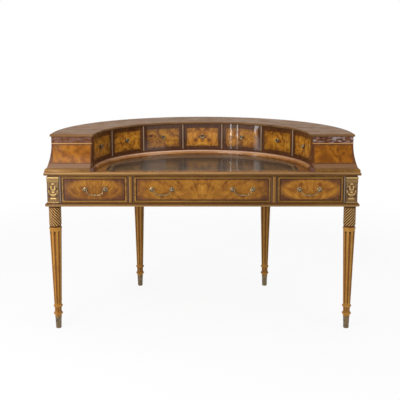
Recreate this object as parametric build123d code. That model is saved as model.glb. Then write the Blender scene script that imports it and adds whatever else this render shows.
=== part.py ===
from build123d import *
import math
import os

# Writing desk with a D-shaped plan: a curved gallery of seven small drawers stands on the
# top and wraps round a leather writing surface, and three frieze drawers lie below it.
# Millimetres. X runs along the front, the front faces -Y, Z is up from the floor.

# Whole desk
desk_width = 1470.0
desk_depth = 802.0
writing_height = 771.0
gallery_height = 171.0
straight_side = 90.0          # the sides run straight this far back, then the curve starts
cut_overrun = 20.0            # cutters run past what they cut by this much

# Desktop board and its leather
top_thickness = 17.0
nose_round_top = 8.0
nose_round_under = 6.0
leather_thickness = 2.0
leather_front_margin = 40.0
leather_side_margin = 59.0
leather_straight = 150.0
leather_back_margin = 14.0    # veneer left between the leather and the gallery moulding
leather_corner_radius = 26.0

# Frieze under the desktop
frieze_inset = 14.0           # frieze faces stand back from the edge of the desktop
frieze_height = 148.0
apron_thickness = 18.0
rail_depth = 36.0
bottom_rail_height = 18.0
top_rail_height = 6.0
cross_rail_back_space = 302.0  # from the cross rail's face to the back of the desktop
cross_rail_thickness = 18.0
stile_width = 11.0
divider_width = 31.0
divider_centre_share = 0.4551    # of half the desk's width
partition_thickness = 16.0
moulding_projection = 11.0
moulding_height = 16.0
moulding_round = 7.0
strip_projection = 3.0
stile_strip_width = 9.0
divider_strip_width = 17.0

# Runners under the frieze drawers
runner_width = 20.0
runner_thickness = 12.0
outer_runner_inset = 26.0
outer_runner_extra = 56.0     # the outer runners run this far past the side drawers
guide_width = 9.0
guide_height = 10.0

# Frieze drawers
drawer_gap = 0.8
runner_gap = 0.3
front_setback = 2.0           # the fronts stand a little behind the frieze faces
front_thickness = 18.0
frame_width = 10.0
frame_projection = 3.0
frame_round = 2.4
drawer_side = 10.0
drawer_bottom = 6.0
bottom_lift = 5.0
drawer_top_drop = 8.0
side_drawer_back_gap = 10.5   # to the curve of the apron
centre_drawer_back_gap = 26.0
side_drawer_travel = 210.0
centre_drawer_travel = 320.0

# Legs
post_size = 54.0
leg_top_radius = 29.0
ring_margin = 1.0
neck_height = 8.0
spiral_height = 96.0
spiral_starts = 13
spiral_steps = 8
spiral_relief = 2.6
spiral_turn = 172.0
collar_drop = 19.0            # from the foot of the spiral to the foot of the collar
collar_height = 12.0
groove_radius = 26.0
flute_foot_margin = 6.0
flute_top_margin = 7.0
shaft_bottom_radius = 17.2
shaft_top_radius = 28.2
flute_count = 8
flute_cutter_share = 0.21     # cutter radius as a share of the shaft radius at that height
flute_depth_share = 0.12
upper_ring_height = 113.0
lower_ring_height = 74.0
ring_radius = 21.8
ring_thickness = 10.0
spool_radius = 16.5
spool_end_radius = 18.5
cap_height = 61.0
cap_foot_radius = 13.0
cap_top_radius = 14.8
cap_wall = 1.4
cap_floor = 3.0
cap_lip = 0.9
cap_lip_height = 4.0
rear_leg_angle = 58.8         # place on the apron's curve, in degrees round from the side

# Carved consoles on the front posts: heights and widths are shares of their own
carving_relief = 4.0
carving_gap = 6.0
carving_foot_share = 0.05
carving_pedestal_shares = (0.19, 0.38, 0.24)     # top, then half width at foot and top
carving_strap_shares = (0.24, 0.34)              # middle and half width
carving_crescent_shares = (0.38, 0.36, 0.2)      # middle, then outer and inner radius
carving_stem_shares = (0.58, 0.22, 0.12)         # top, then half width at foot and top
carving_scroll_shares = (0.62, 0.3, 0.17)        # middle, then place across and radius
carving_roll_share = 0.71
carving_block_shares = (0.745, 0.94)

# Bail handles of the frieze drawers
handle_spacing = 94.0
side_handle_offset = 4.0      # the handles of the side drawers sit this far towards the middle
centre_handle_share = 0.5893  # of half the centre drawer's opening
handle_drop = 24.0
rosette_radius = 11.0
rosette_thickness = 2.6
post_reach = 12.0
post_radius = 3.2
post_head_radius = 5.2
bail_radius = 2.1
bail_pin_radius = 1.7
bail_pin_clearance = 0.4
bail_pin_length = 5.0
bail_shoulder = 2.6
bail_bead_radius = 4.2
bail_ring_radius = 3.1
bail_ring_place = 6.0
bail_bend_share = 0.6           # where the two arcs of an arm meet, across and down
bail_bend_drop_share = 0.95
bail_swing = 95.0

# Gallery: its outer wall, plinth, floor and top
gallery_plinth_inset = 4.0
gallery_plinth_height = 15.0
plinth_round = 9.0
wall_foot_inset = 13.5
wall_top_inset = 33.0
front_top_inset = 46.0        # the end panels sweep back further than the side walls
upright_band_height = 34.0    # of the gallery wall, over its hollow
wall_inner_inset = 47.0
end_panel_back = 64.0
gallery_top_thickness = 12.0
gallery_top_inset = 27.0
gallery_top_front = 40.0
gallery_top_round = 4.5
cavetto_level_shares = (0.0, 0.2, 0.45, 0.72, 1.0)

# Inner curve that the small drawers stand on
wing_width = 224.0            # of the gallery, from the desk's side to the inner curve
well_centre_setback = 60.0
gallery_back_depth = 259.0
well_splay_angle = 6.3        # in degrees round from the side, where the straight splay starts
well_moulding_depth = 20.0
well_moulding_height = 20.0
well_moulding_round = 13.0
well_moulding_bearing = 14.0
well_moulding_lengths = 6       # pieces round the curve, and a short one at each end
floor_thickness = 8.0
floor_lip = 4.0
top_overhang = 8.0

# Small drawers of the gallery
divider_place_shares = (0.2016, 0.597, 0.88)
end_divider_setback = 72.0
small_stile_width = 14.0
small_stile_depth = 18.0
stile_bead_radius = 3.5
small_board = 6.0
small_front_thickness = 14.0
small_drawer_depth = 150.0
small_drawer_travel = 110.0
small_gap = 0.8
small_lift = 0.3
small_side = 6.0
small_bottom = 4.0
small_top_drop = 10.0
knob_radius = 10.5
knob_neck_radius = 3.6
knob_neck = 5.0
knob_head = 6.0
knob_rim_share = 0.84
knob_dish_share = 0.42
knob_seat_depth = 0.6           # each knob's plate is let into a shallow round seat
knob_seat_margin = 0.5
knob_plate_radius = 7.5
knob_plate_thickness = 1.6

# Worked out from the sizes above
half_width = desk_width / 2
total_height = writing_height + gallery_height
front_y = -desk_depth / 2
curve_y = front_y + straight_side
back_reach = desk_depth - straight_side
top_underside = writing_height - top_thickness
frieze_bottom = top_underside - frieze_height
post_centre_x = half_width - frieze_inset - post_size / 2
post_centre_y = front_y + frieze_inset + post_size / 2
post_inner_x = post_centre_x - post_size / 2
rail_front = front_y + frieze_inset
rail_back = rail_front + rail_depth
opening_bottom = frieze_bottom + bottom_rail_height
opening_top = top_underside - top_rail_height
apron_start = front_y + frieze_inset + post_size
apron_inner = frieze_inset + apron_thickness
cross_rail_y = front_y + desk_depth - cross_rail_back_space
divider_centre = half_width * divider_centre_share
side_opening = (divider_centre + divider_width / 2, post_inner_x - stile_width)
centre_opening = (-divider_centre + divider_width / 2, divider_centre - divider_width / 2)
centre_handle_offset = centre_opening[1] * centre_handle_share
well_y = front_y + well_centre_setback
well_half_width = half_width - wing_width
well_reach = desk_depth - gallery_back_depth - well_centre_setback
leather_half_width = well_half_width - leather_side_margin
plinth_top = writing_height + gallery_plinth_height
gallery_underside = total_height - gallery_top_thickness
cavetto_top = gallery_underside - upright_band_height
cavetto_height = cavetto_top - plinth_top
well_moulding_top = writing_height + well_moulding_height
floor_top = well_moulding_top + floor_thickness
small_front_bottom = floor_top + small_lift
small_front_top = gallery_underside - small_gap
front_face_y = rail_front + front_setback
handle_height = (opening_bottom + opening_top) / 2
box_start_y = front_face_y + front_thickness
apron_half_width = half_width - apron_inner
side_share = side_opening[1] / apron_half_width
apron_y = curve_y + (back_reach - apron_inner) * math.sqrt(1 - side_share**2)
side_drawer_depth = apron_y - side_drawer_back_gap - box_start_y
centre_drawer_depth = cross_rail_y - centre_drawer_back_gap - box_start_y
leg_top = frieze_bottom
spiral_bottom = leg_top - spiral_height
collar_bottom = spiral_bottom - collar_drop
shaft_bottom = upper_ring_height + ring_thickness / 2
flute_bottom = shaft_bottom + flute_foot_margin
flute_top = collar_bottom - flute_top_margin


def save(name, shape):
    """Write one node, with its name on it."""
    shape.label = name
    export_step(shape, f"parts/{name}.step")


def span_box(x0, x1, y0, y1, z0, z1):
    """A block between two corners."""
    block = Box(x1 - x0, y1 - y0, z1 - z0)
    return Pos((x0 + x1) / 2, (y0 + y1) / 2, (z0 + z1) / 2) * block


def mirrored(shape):
    """The same shape on the other side of the desk."""
    return mirror(shape, about=Plane.YZ)


def oval_arc(centre_y, a, b, start=0.0):
    """Arc of an ellipse from its right end, or a little above it, over to the left."""
    size = 180 - 2 * start
    if a >= b:
        return EllipticalCenterArc((0, centre_y), a, b, start_angle=start, arc_size=size)
    upright = EllipticalCenterArc((0, 0), b, a, start_angle=start - 90, arc_size=size)
    return Pos(0, centre_y) * Rot(0, 0, 90) * upright


def d_face(inset, front_inset=None):
    """The desk's plan, set in from the edge of the desktop: straight sides and a half ellipse."""
    if front_inset is None:
        front_inset = inset
    a = half_width - inset
    arc = oval_arc(curve_y, a, back_reach - inset)
    y = front_y + front_inset
    sides = [Line((a, y), arc @ 0), Line(arc @ 1, (-a, y)), Line((-a, y), (a, y))]
    return make_face([arc] + sides)


def prism(face, z0, z1):
    """A plan face drawn up between two heights."""
    return extrude(Pos(0, 0, z0) * face, z1 - z0)


def d_prism(inset, z0, z1, front_inset=None):
    """A D-shaped block between two heights."""
    return prism(d_face(inset, front_inset), z0, z1)


def well_point(angle, offset=0.0):
    """A point on the inner curve, by its angle round the ellipse, moved out by an offset."""
    a, b = well_half_width + offset, well_reach + offset
    return Vector(a * math.cos(math.radians(angle)), well_y + b * math.sin(math.radians(angle)))


def splay_x(y, offset=0.0):
    """Where the straight splayed end of the inner curve lies at one depth."""
    a, b = well_half_width + offset, well_reach + offset
    start = well_point(well_splay_angle, offset)
    slope = a * math.tan(math.radians(well_splay_angle)) / b
    return start.X + (start.Y - y) * slope


def well_face(offset):
    """The open writing space inside the gallery, run out past the front edge."""
    a, b = well_half_width + offset, well_reach + offset
    arc = oval_arc(well_y, a, b, well_splay_angle)
    y = front_y - cut_overrun
    x = splay_x(y, offset)
    return make_face([arc, Line((x, y), arc @ 0), Line(arc @ 1, (-x, y)), Line((-x, y), (x, y))])


def well_prism(offset, z0, z1):
    """The writing space as a block between two heights."""
    return prism(well_face(offset), z0, z1)


def edges_at(shape, z):
    """The edges that lie at one height."""
    return shape.edges().filter_by_position(Axis.Z, z, z)


def make_desktop():
    """Desktop board with a rounded nose and a shallow recess for the leather."""
    board = d_prism(0, top_underside, writing_height)
    board = fillet(edges_at(board, writing_height), nose_round_top)
    board = fillet(edges_at(board, top_underside), nose_round_under)
    return board - prism(leather_face(), writing_height - leather_thickness, writing_height + cut_overrun)


def leather_face():
    """Outline of the leather: straight sides, a half ellipse behind and rounded front corners."""
    y_curve = front_y + leather_straight
    back = well_y + well_reach - well_moulding_depth - leather_back_margin
    arc = oval_arc(y_curve, leather_half_width, back - y_curve)
    y, x, r = front_y + leather_front_margin, leather_half_width, leather_corner_radius
    outline = [
        arc,
        Line(arc @ 1, (-x, y + r)),
        RadiusArc((-x, y + r), (-x + r, y), -r),
        Line((-x + r, y), (x - r, y)),
        RadiusArc((x - r, y), (x, y + r), -r),
        Line((x, y + r), arc @ 0),
    ]
    face = make_face(outline)
    foot = well_face(-well_moulding_depth - leather_back_margin)
    return (face & foot).face()


def make_leather():
    """Leather let into the desktop, level with it."""
    return prism(leather_face(), writing_height - leather_thickness, writing_height)


def make_apron():
    """Curved apron round the sides and back, from post to post."""
    ring = d_prism(frieze_inset, frieze_bottom, top_underside) - d_prism(apron_inner, frieze_bottom, top_underside)
    front = span_box(-half_width, half_width, front_y, apron_start, frieze_bottom, top_underside)
    return ring - front


def make_lower_moulding():
    """Bead that runs right round the foot of the frieze."""
    outer = frieze_inset - moulding_projection
    bead = d_prism(outer, frieze_bottom, frieze_bottom + moulding_height)
    bead = fillet(edges_at(bead, frieze_bottom + moulding_height), moulding_round)
    bead = fillet(edges_at(bead, frieze_bottom), moulding_round)
    return bead - d_prism(frieze_inset, frieze_bottom, frieze_bottom + moulding_height)


def make_bottom_rail():
    """Front rail under the frieze drawers."""
    return span_box(-post_inner_x, post_inner_x, rail_front, rail_back, frieze_bottom, opening_bottom)


def make_top_rail():
    """Thin front rail over the frieze drawers."""
    return span_box(-post_inner_x, post_inner_x, rail_front, rail_back, opening_top, top_underside)


def rounded_strip(x, width):
    """A strip of low round section up the face of a frieze upright."""
    half = width / 2
    curve = ThreePointArc((-half, 0), (0, -strip_projection), (half, 0))
    section = make_face([curve, Line((half, 0), (-half, 0))])
    strip = extrude(section, opening_top - opening_bottom, dir=(0, 0, 1))
    return Pos(x, rail_front, opening_bottom) * strip


def make_frieze_stile():
    """Narrow upright between the right post and its drawer, with a rounded strip."""
    x0, x1 = side_opening[1], post_inner_x
    stile = span_box(x0, x1, rail_front, rail_back, opening_bottom, opening_top)
    return stile + rounded_strip((x0 + x1) / 2, stile_strip_width)


def make_drawer_divider():
    """Upright between the centre drawer and the right one, with a rounded strip."""
    half = divider_width / 2
    x0, x1 = divider_centre - half, divider_centre + half
    divider = span_box(x0, x1, rail_front, rail_back, opening_bottom, opening_top)
    return divider + rounded_strip(divider_centre, divider_strip_width)


def make_partition():
    """Board behind the right divider, back to the cross rail."""
    half = partition_thickness / 2
    x0, x1 = divider_centre - half, divider_centre + half
    return span_box(x0, x1, rail_back, cross_rail_y, frieze_bottom, top_underside)


def make_cross_rail():
    """Rail across the frieze behind the drawers, fitted to the curve of the apron."""
    y1 = cross_rail_y + cross_rail_thickness
    rail = span_box(-half_width, half_width, cross_rail_y, y1, frieze_bottom, top_underside)
    return rail & d_prism(apron_inner, frieze_bottom, top_underside)


def make_runners():
    """Runners under the frieze drawers: one each side of both partitions, and one by each post."""
    z0, z1 = opening_bottom - runner_thickness, opening_bottom
    face = divider_centre - partition_thickness / 2
    inner = span_box(face - runner_width, face, rail_back, cross_rail_y, z0, z1)
    face = divider_centre + partition_thickness / 2
    middle = span_box(face, face + runner_width, rail_back, cross_rail_y, z0, z1)
    end = box_start_y + side_drawer_depth + outer_runner_extra
    x0 = side_opening[1]
    start = x0 - outer_runner_inset
    outer = span_box(start, half_width, apron_start, end, z0, z1)
    outer += span_box(start, post_inner_x, rail_back, apron_start, z0, z1)
    outer += span_box(x0, x0 + guide_width, rail_back, end, z0, z1 + guide_height)
    outer = outer & d_prism(apron_inner, frieze_bottom, top_underside)
    right = [inner, middle, outer]
    return Compound(children=right + [mirrored(s) for s in right])


def leg_profile():
    """Half outline of the turned part of a leg, from the cap up to the neck."""
    half_ring = ring_thickness / 2
    lower, upper = lower_ring_height, upper_ring_height
    tip = cap_foot_radius - cap_wall
    seat = cap_top_radius - cap_wall
    spool_mid = (lower + upper) / 2
    collar_top = collar_bottom + collar_height
    r = ring_radius
    points = [
        Line((0, cap_floor), (tip, cap_floor)),
        Line((tip, cap_floor), (seat, cap_height)),
        Line((seat, cap_height), (cap_top_radius + ring_margin, cap_height)),
        Line((cap_top_radius + ring_margin, cap_height), (spool_radius, lower - half_ring)),
        ThreePointArc((spool_radius, lower - half_ring), (r, lower), (spool_end_radius, lower + half_ring)),
        ThreePointArc(
            (spool_end_radius, lower + half_ring),
            (spool_radius, spool_mid),
            (spool_end_radius, upper - half_ring),
        ),
        ThreePointArc((spool_end_radius, upper - half_ring), (r, upper), (shaft_bottom_radius, upper + half_ring)),
        Line((shaft_bottom_radius, upper + half_ring), (shaft_top_radius, collar_bottom)),
        ThreePointArc(
            (shaft_top_radius, collar_bottom),
            (shaft_top_radius + ring_margin, collar_bottom + collar_height / 2),
            (shaft_top_radius, collar_top),
        ),
        Line((shaft_top_radius, collar_top), (groove_radius, collar_top)),
        Line((groove_radius, collar_top), (groove_radius, spiral_bottom)),
        Line((groove_radius, spiral_bottom), (0, spiral_bottom)),
        Line((0, spiral_bottom), (0, cap_floor)),
    ]
    return make_face(points)


def shaft_radius(z):
    """Radius of the tapered shaft at one height."""
    share = (z - shaft_bottom) / (collar_bottom - shaft_bottom)
    return shaft_bottom_radius + (shaft_top_radius - shaft_bottom_radius) * share


def flute_cutter():
    """A tapered round-ended bar that lies along the shaft and cuts one flute."""
    low, high = shaft_radius(flute_bottom), shaft_radius(flute_top)
    r0, r1 = low * flute_cutter_share, high * flute_cutter_share
    x0 = low + r0 - low * flute_depth_share
    x1 = high + r1 - high * flute_depth_share
    z0, z1 = flute_bottom + r0, flute_top - r1
    run = math.hypot(x1 - x0, z1 - z0)
    tilt = math.degrees(math.atan2(x1 - x0, z1 - z0))
    bar = Cone(r0, r1, run, align=(Align.CENTER, Align.CENTER, Align.MIN))
    bar += Sphere(r0) + Pos(0, 0, run) * Sphere(r1)
    return Pos(x0, 0, z0) * Rot(0, tilt, 0) * bar


def lobed_face(z, turn):
    """Cross-section of the spiral: ridges and hollows in turn round the leg."""
    points = []
    for k in range(2 * spiral_starts):
        radius = leg_top_radius if k % 2 == 0 else leg_top_radius - spiral_relief
        angle = math.radians(turn + k * 180 / spiral_starts)
        points.append((radius * math.cos(angle), radius * math.sin(angle), z))
    return make_face(Polyline(*points, close=True))


def make_spiral(hand):
    """Spiral ridges round the top of a leg, right or left handed."""
    rise = (leg_top - neck_height - spiral_bottom) / spiral_steps
    faces = [
        lobed_face(spiral_bottom + k * rise, hand * spiral_turn * k / spiral_steps)
        for k in range(spiral_steps + 1)
    ]
    return loft(faces, ruled=True)


def make_leg(hand, block_turn):
    """One leg: turned and fluted shaft, spiral top and the square block above it."""
    shaft = revolve(Plane.XZ * leg_profile(), Axis.Z)
    cutter = flute_cutter()
    for k in range(flute_count):
        shaft -= Rot(0, 0, k * 360 / flute_count) * cutter
    neck = Pos(0, 0, leg_top - neck_height) * Cylinder(
        leg_top_radius - spiral_relief, neck_height, align=(Align.CENTER, Align.CENTER, Align.MIN)
    )
    block = Box(post_size, post_size, top_underside - leg_top, align=(Align.CENTER, Align.CENTER, Align.MIN))
    block = Pos(0, 0, leg_top) * Rot(0, 0, block_turn) * block
    return shaft + make_spiral(hand) + neck + block


def make_cap():
    """Brass cap on the foot of a leg, with a small lip at its mouth."""
    profile = [
        Line((0, 0), (cap_foot_radius, 0)),
        Line((cap_foot_radius, 0), (cap_top_radius, cap_height - cap_lip_height)),
        Line((cap_top_radius, cap_height - cap_lip_height), (cap_top_radius + cap_lip, cap_height - cap_lip_height)),
        Line((cap_top_radius + cap_lip, cap_height - cap_lip_height), (cap_top_radius + cap_lip, cap_height)),
        Line((cap_top_radius + cap_lip, cap_height), (cap_top_radius - cap_wall, cap_height)),
        Line((cap_top_radius - cap_wall, cap_height), (cap_foot_radius - cap_wall, cap_floor)),
        Line((cap_foot_radius - cap_wall, cap_floor), (0, cap_floor)),
        Line((0, cap_floor), (0, 0)),
    ]
    return revolve(Plane.XZ * make_face(profile), Axis.Z)


def rear_leg_place():
    """Centre and turn of the right rear leg, whose block beds against the apron's inner face."""
    t = math.radians(rear_leg_angle)
    a, b = half_width - apron_inner, back_reach - apron_inner
    wall = Vector(a * math.cos(t), curve_y + b * math.sin(t))
    outward = Vector(math.cos(t) / a, math.sin(t) / b).normalized()
    sag = post_size * post_size / (8 * a)
    centre = wall - outward * (post_size / 2 + sag)
    return centre, math.degrees(math.atan2(outward.Y, outward.X))


def post_shell(z0, z1):
    """A layer on the front and outer faces of a post, round its corner, between two heights."""
    half, out = post_size / 2, carving_relief
    return span_box(-half, half + out, -half - out, half, z0, z1) - span_box(-half, half, -half, half, z0, z1)


def raised(outline):
    """A closed outline raised by the depth of the carving."""
    return extrude(make_face(Polyline(*outline, close=True)), carving_relief, dir=(0, 0, 1))


def tapered(low, high, half_low, half_high):
    """A raised form that narrows or widens upwards."""
    return raised([(-half_low, low), (half_low, low), (half_high, high), (-half_high, high)])


def make_carving_face(height):
    """Ornament of one face: across, up and out. Pedestal, crossed straps, crescent, stem and scrolls."""
    w = post_size
    top, wide, narrow = carving_pedestal_shares
    form = tapered(0, top * height, wide * w, narrow * w)
    middle, reach = carving_strap_shares
    for sign in (-1, 1):
        strap = Box(2 * reach * w, carving_relief, 2 * carving_relief)
        form += Pos(0, middle * height, 0) * Rot(0, 0, sign * math.degrees(reach)) * strap
    middle, outer, inner = carving_crescent_shares
    ring = Cylinder(outer * w, carving_relief) - Cylinder(inner * w, carving_relief)
    ring &= Pos(0, -outer * w / 2, 0) * Box(2 * outer * w, outer * w, carving_relief)
    form += Pos(0, middle * height, carving_relief / 2) * ring
    stem_top, wide, narrow = carving_stem_shares
    form += tapered((middle - inner / 2) * height, stem_top * height, wide * w, narrow * w)
    form += tapered(stem_top * height, carving_roll_share * height, narrow * w, 2 * narrow * w)
    middle, place, radius = carving_scroll_shares
    for sign in (-1, 1):
        scroll = Cylinder(radius * w, carving_relief) + Pos(0, 0, carving_relief / 2) * Sphere(radius * w / 2)
        form += Pos(sign * place * w, middle * height, carving_relief / 2) * scroll
    roll = Rot(0, 90, 0) * Cylinder(carving_relief, w - 2 * carving_relief)
    form += Pos(0, carving_roll_share * height, 0) * roll
    return form - Pos(0, 0, -w / 2) * Box(2 * w, 2 * height, w)


def make_corner_carving():
    """Carved console on the front and outer faces of the right post."""
    z0, z1 = frieze_bottom + moulding_height, top_underside - carving_gap
    height = z1 - z0
    low, high = carving_block_shares
    shell = post_shell(z0, z0 + carving_foot_share * height)
    shell += post_shell(z0 + low * height, z0 + high * height)
    face = Pos(0, -post_size / 2, z0) * Rot(90, 0, 0) * make_carving_face(height)
    shell += face
    shell += Rot(0, 0, 90) * face
    return Pos(post_centre_x, post_centre_y, 0) * shell


def make_drawer_front(x0, x1):
    """Frieze drawer front: a rounded frame round a sunk field."""
    z0, z1 = opening_bottom + runner_gap, opening_top - drawer_gap
    x0, x1 = x0 + drawer_gap, x1 - drawer_gap
    y0, y1 = front_face_y - frame_projection, box_start_y
    front = span_box(x0, x1, y0, y1, z0, z1)
    w = frame_width
    front -= span_box(x0 + w, x1 - w, y0, front_face_y, z0 + w, z1 - w)
    return fillet(front.edges().filter_by_position(Axis.Y, y0, y0), frame_round)


def make_drawer_box(x0, x1, depth):
    """Sides, back and bottom of a frieze drawer, open at the top and behind the front."""
    z0, z1 = opening_bottom + runner_gap, opening_top - drawer_top_drop
    x0, x1 = x0 + drawer_gap, x1 - drawer_gap
    y0 = box_start_y
    y1 = y0 + depth
    body = span_box(x0, x1, y0, y1, z0, z1)
    x2, x3 = x0 + drawer_side, x1 - drawer_side
    inside = span_box(x2, x3, y0, y1 - drawer_side, z0 + bottom_lift + drawer_bottom, z1)
    under = span_box(x2, x3, y0, y1 - drawer_side, z0, z0 + bottom_lift)
    return body - inside - under


def make_handle_posts():
    """A pair of rosettes with posts, whose heads are bored for the bail."""
    half = handle_spacing / 2
    hole_radius = bail_pin_radius + bail_pin_clearance
    face = [
        Line((0, 0), (rosette_radius, 0)),
        ThreePointArc(
            (rosette_radius, 0),
            (rosette_radius - rosette_thickness / 3, rosette_thickness * 2 / 3),
            (rosette_radius - rosette_thickness, rosette_thickness),
        ),
        Line((rosette_radius - rosette_thickness, rosette_thickness), (post_radius, rosette_thickness)),
        Line((post_radius, rosette_thickness), (post_radius, post_reach)),
        Line((post_radius, post_reach), (0, post_reach)),
        Line((0, post_reach), (0, 0)),
    ]
    turned = revolve(Plane.XZ * make_face(face), Axis.Z) + Pos(0, 0, post_reach) * Sphere(post_head_radius)
    posts = []
    for side in (-1, 1):
        post = Pos(side * half, 0, 0) * Rot(90, 0, 0) * turned
        bore_x = side * (half - post_head_radius)
        bore = Pos(bore_x, -post_reach, 0) * Rot(0, 90, 0) * Cylinder(hole_radius, 2 * post_head_radius)
        posts.append(post - bore)
    return Compound(children=posts)


def make_bail():
    """Bail that hangs between the two posts: two arms of two arcs each meet at a turned drop."""
    drop = handle_drop
    head = handle_spacing / 2 - post_head_radius
    knee, pin_end = head - bail_shoulder, head + bail_pin_length
    bend = (knee * bail_bend_share, 0, -drop * bail_bend_drop_share)
    outer = TangentArc((knee, 0, 0), bend, tangent=(0, 0, -1))
    inner = TangentArc(bend, (0, 0, -drop), tangent=outer % 1)
    start = Plane(origin=outer @ 0, z_dir=outer % 0)
    arm = sweep(start * Circle(bail_radius), path=Wire([outer, inner]))
    knuckle = Pos(knee, 0, 0) * Sphere(bail_radius * 5 / 4)
    pin = Pos((knee + pin_end) / 2, 0, 0) * Rot(0, 90, 0) * Cylinder(bail_pin_radius, pin_end - knee)
    ring = Pos(bail_ring_place, 0, -drop) * Sphere(bail_ring_radius)
    right = arm + knuckle + pin + ring
    bead = Pos(0, 0, -drop) * Sphere(bail_bead_radius)
    return Pos(0, -post_reach, 0) * (right + mirrored(right) + bead)


def cavetto_inset(share, foot, top):
    """Inset of the hollow wall at a share of its height, steep at the foot and upright above."""
    return top + (foot - top) * (1 - share) ** 2


def make_flared_body():
    """The gallery's outer form: a hollow flare that rises to an upright band."""
    sections = []
    for share in cavetto_level_shares:
        side = cavetto_inset(share, wall_foot_inset, wall_top_inset)
        front = cavetto_inset(share, wall_foot_inset, front_top_inset)
        sections.append(Pos(0, 0, plinth_top + share * cavetto_height) * d_face(side, front))
    flare = loft(sections)
    return flare + d_prism(wall_top_inset, cavetto_top, gallery_underside, front_top_inset)


def make_gallery_wall(flared):
    """Curved outer wall of the gallery, from one end panel round to the other."""
    z0, z1 = plinth_top, gallery_underside
    panel_back = front_y + end_panel_back
    wall = flared - d_prism(wall_inner_inset, z0, z1)
    return wall - span_box(-half_width, half_width, front_y, panel_back, z0, z1)


def make_end_panel(flared):
    """Front panel of the right wing, swept forward at its foot."""
    z0, z1 = plinth_top, gallery_underside
    panel = flared & span_box(0, half_width, front_y, front_y + end_panel_back, z0, z1)
    return panel - well_prism(0, z0, z1)


def make_gallery_plinth():
    """Rounded plinth moulding under the outer wall and the end panels."""
    z0, z1 = writing_height, plinth_top
    block = d_prism(gallery_plinth_inset, z0, z1)
    block = fillet(edges_at(block, z1), plinth_round)
    block -= d_prism(wall_inner_inset, z0, z1, end_panel_back)
    return block - well_prism(0, z0, z1)


def make_well_moulding():
    """Rounded moulding round the writing space, which the small drawers stand above, in one length."""
    z0, z1 = writing_height, well_moulding_top
    hollow = well_prism(-well_moulding_depth, z0, z1)
    stock = well_prism(0, z0, z1) - hollow
    stock = fillet(inner_rim(stock, z1), well_moulding_round)
    bearing = well_prism(well_moulding_bearing, z0, z1) - well_prism(0, z0, z1)
    front = span_box(-half_width, half_width, front_y - 2 * cut_overrun, front_y + gallery_plinth_inset, z0, z1)
    inner_front = span_box(-half_width, half_width, front_y - 2 * cut_overrun, front_y + end_panel_back, z0, z1)
    return stock - front + (bearing - inner_front)


def in_lengths(moulding, z0, z1):
    """The moulding cut into the lengths that a joiner bends and butts together."""
    turn = math.pi / well_moulding_lengths
    centre, far = (0, well_y), 2 * desk_width
    pieces = []
    for k in range(-1, well_moulding_lengths + 1):
        ends = [(far * math.cos(a), well_y + far * math.sin(a)) for a in (k * turn, (k + 1) * turn)]
        wedge = prism(make_face(Polyline(centre, *ends, close=True)), z0, z1)
        pieces += (moulding & wedge).solids()
    return Compound(children=pieces)


def inner_rim(shape, z):
    """The upper edges of the moulding on the side of the writing space."""
    inside = well_half_width - well_moulding_depth / 2
    rim = []
    for edge in edges_at(shape, z):
        middle = edge @ 0.5
        if middle.Y > front_y and edge.length > well_reach / 2 and is_inner(middle, inside):
            rim.append(edge)
        elif middle.Y > front_y - cut_overrun / 2 and edge.length < well_reach / 2 and is_inner(middle, inside):
            rim.append(edge)
    return rim


def is_inner(point, inside):
    """Whether a point of the moulding's top lies on the side of the writing space."""
    if point.Y < well_point(well_splay_angle).Y:
        return abs(point.X) < splay_x(point.Y, -well_moulding_depth / 2)
    share = (point.X / inside) ** 2 + ((point.Y - well_y) / (well_reach - well_moulding_depth / 2)) ** 2
    return share < 1


def make_gallery_floor():
    """Floor board of the gallery, with a small lip over the moulding."""
    z0, z1 = well_moulding_top, floor_top
    board = d_prism(wall_inner_inset, z0, z1, end_panel_back)
    return board - well_prism(-floor_lip, z0, z1)


def make_gallery_top():
    """Flat top of the gallery, rounded on every edge."""
    z0, z1 = gallery_underside, total_height
    slab = d_prism(gallery_top_inset, z0, z1, gallery_top_front) - well_prism(-top_overhang, z0, z1)
    slab = fillet(edges_at(slab, z1), gallery_top_round)
    return fillet(edges_at(slab, z0), gallery_top_round)


def divider_points():
    """Places on the inner curve where the small drawers meet, from left to right."""
    right = []
    for share in divider_place_shares:
        x = well_half_width * share
        right.append(Vector(x, well_y + well_reach * math.sqrt(1 - share**2)))
    y = front_y + end_divider_setback
    right.append(Vector(splay_x(y), y))
    left = [Vector(-p.X, p.Y) for p in reversed(right)]
    return left + right


class SmallBay:
    """One drawer bay of the gallery: its chord, its outward direction and its clear sides."""

    def __init__(self, points, k):
        self.start, self.end = points[k], points[k + 1]
        self.along = (self.end - self.start).normalized()
        self.outward = Vector(-self.along.Y, self.along.X)
        self.length = (self.end - self.start).length
        self.left = self.side_margin(points, k)
        self.right = self.length - self.side_margin(points, k + 1)
        self.plane = Plane(origin=(self.start.X, self.start.Y, 0), x_dir=(self.along.X, self.along.Y, 0))

    def side_margin(self, points, k):
        """How far a bay's side stands from the divider point, so that the stile fits between."""
        if k == 0 or k == len(points) - 1:
            return small_stile_width
        before, after = points[k] - points[k - 1], points[k + 1] - points[k]
        half_turn = math.radians(before.get_angle(after)) / 2
        return small_stile_width / 2 / math.cos(half_turn)

    def block(self, x0, x1, y0, y1, z0, z1):
        """A block in the bay's own directions: along the chord and outward."""
        return self.plane * span_box(x0, x1, y0, y1, z0, z1)


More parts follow.
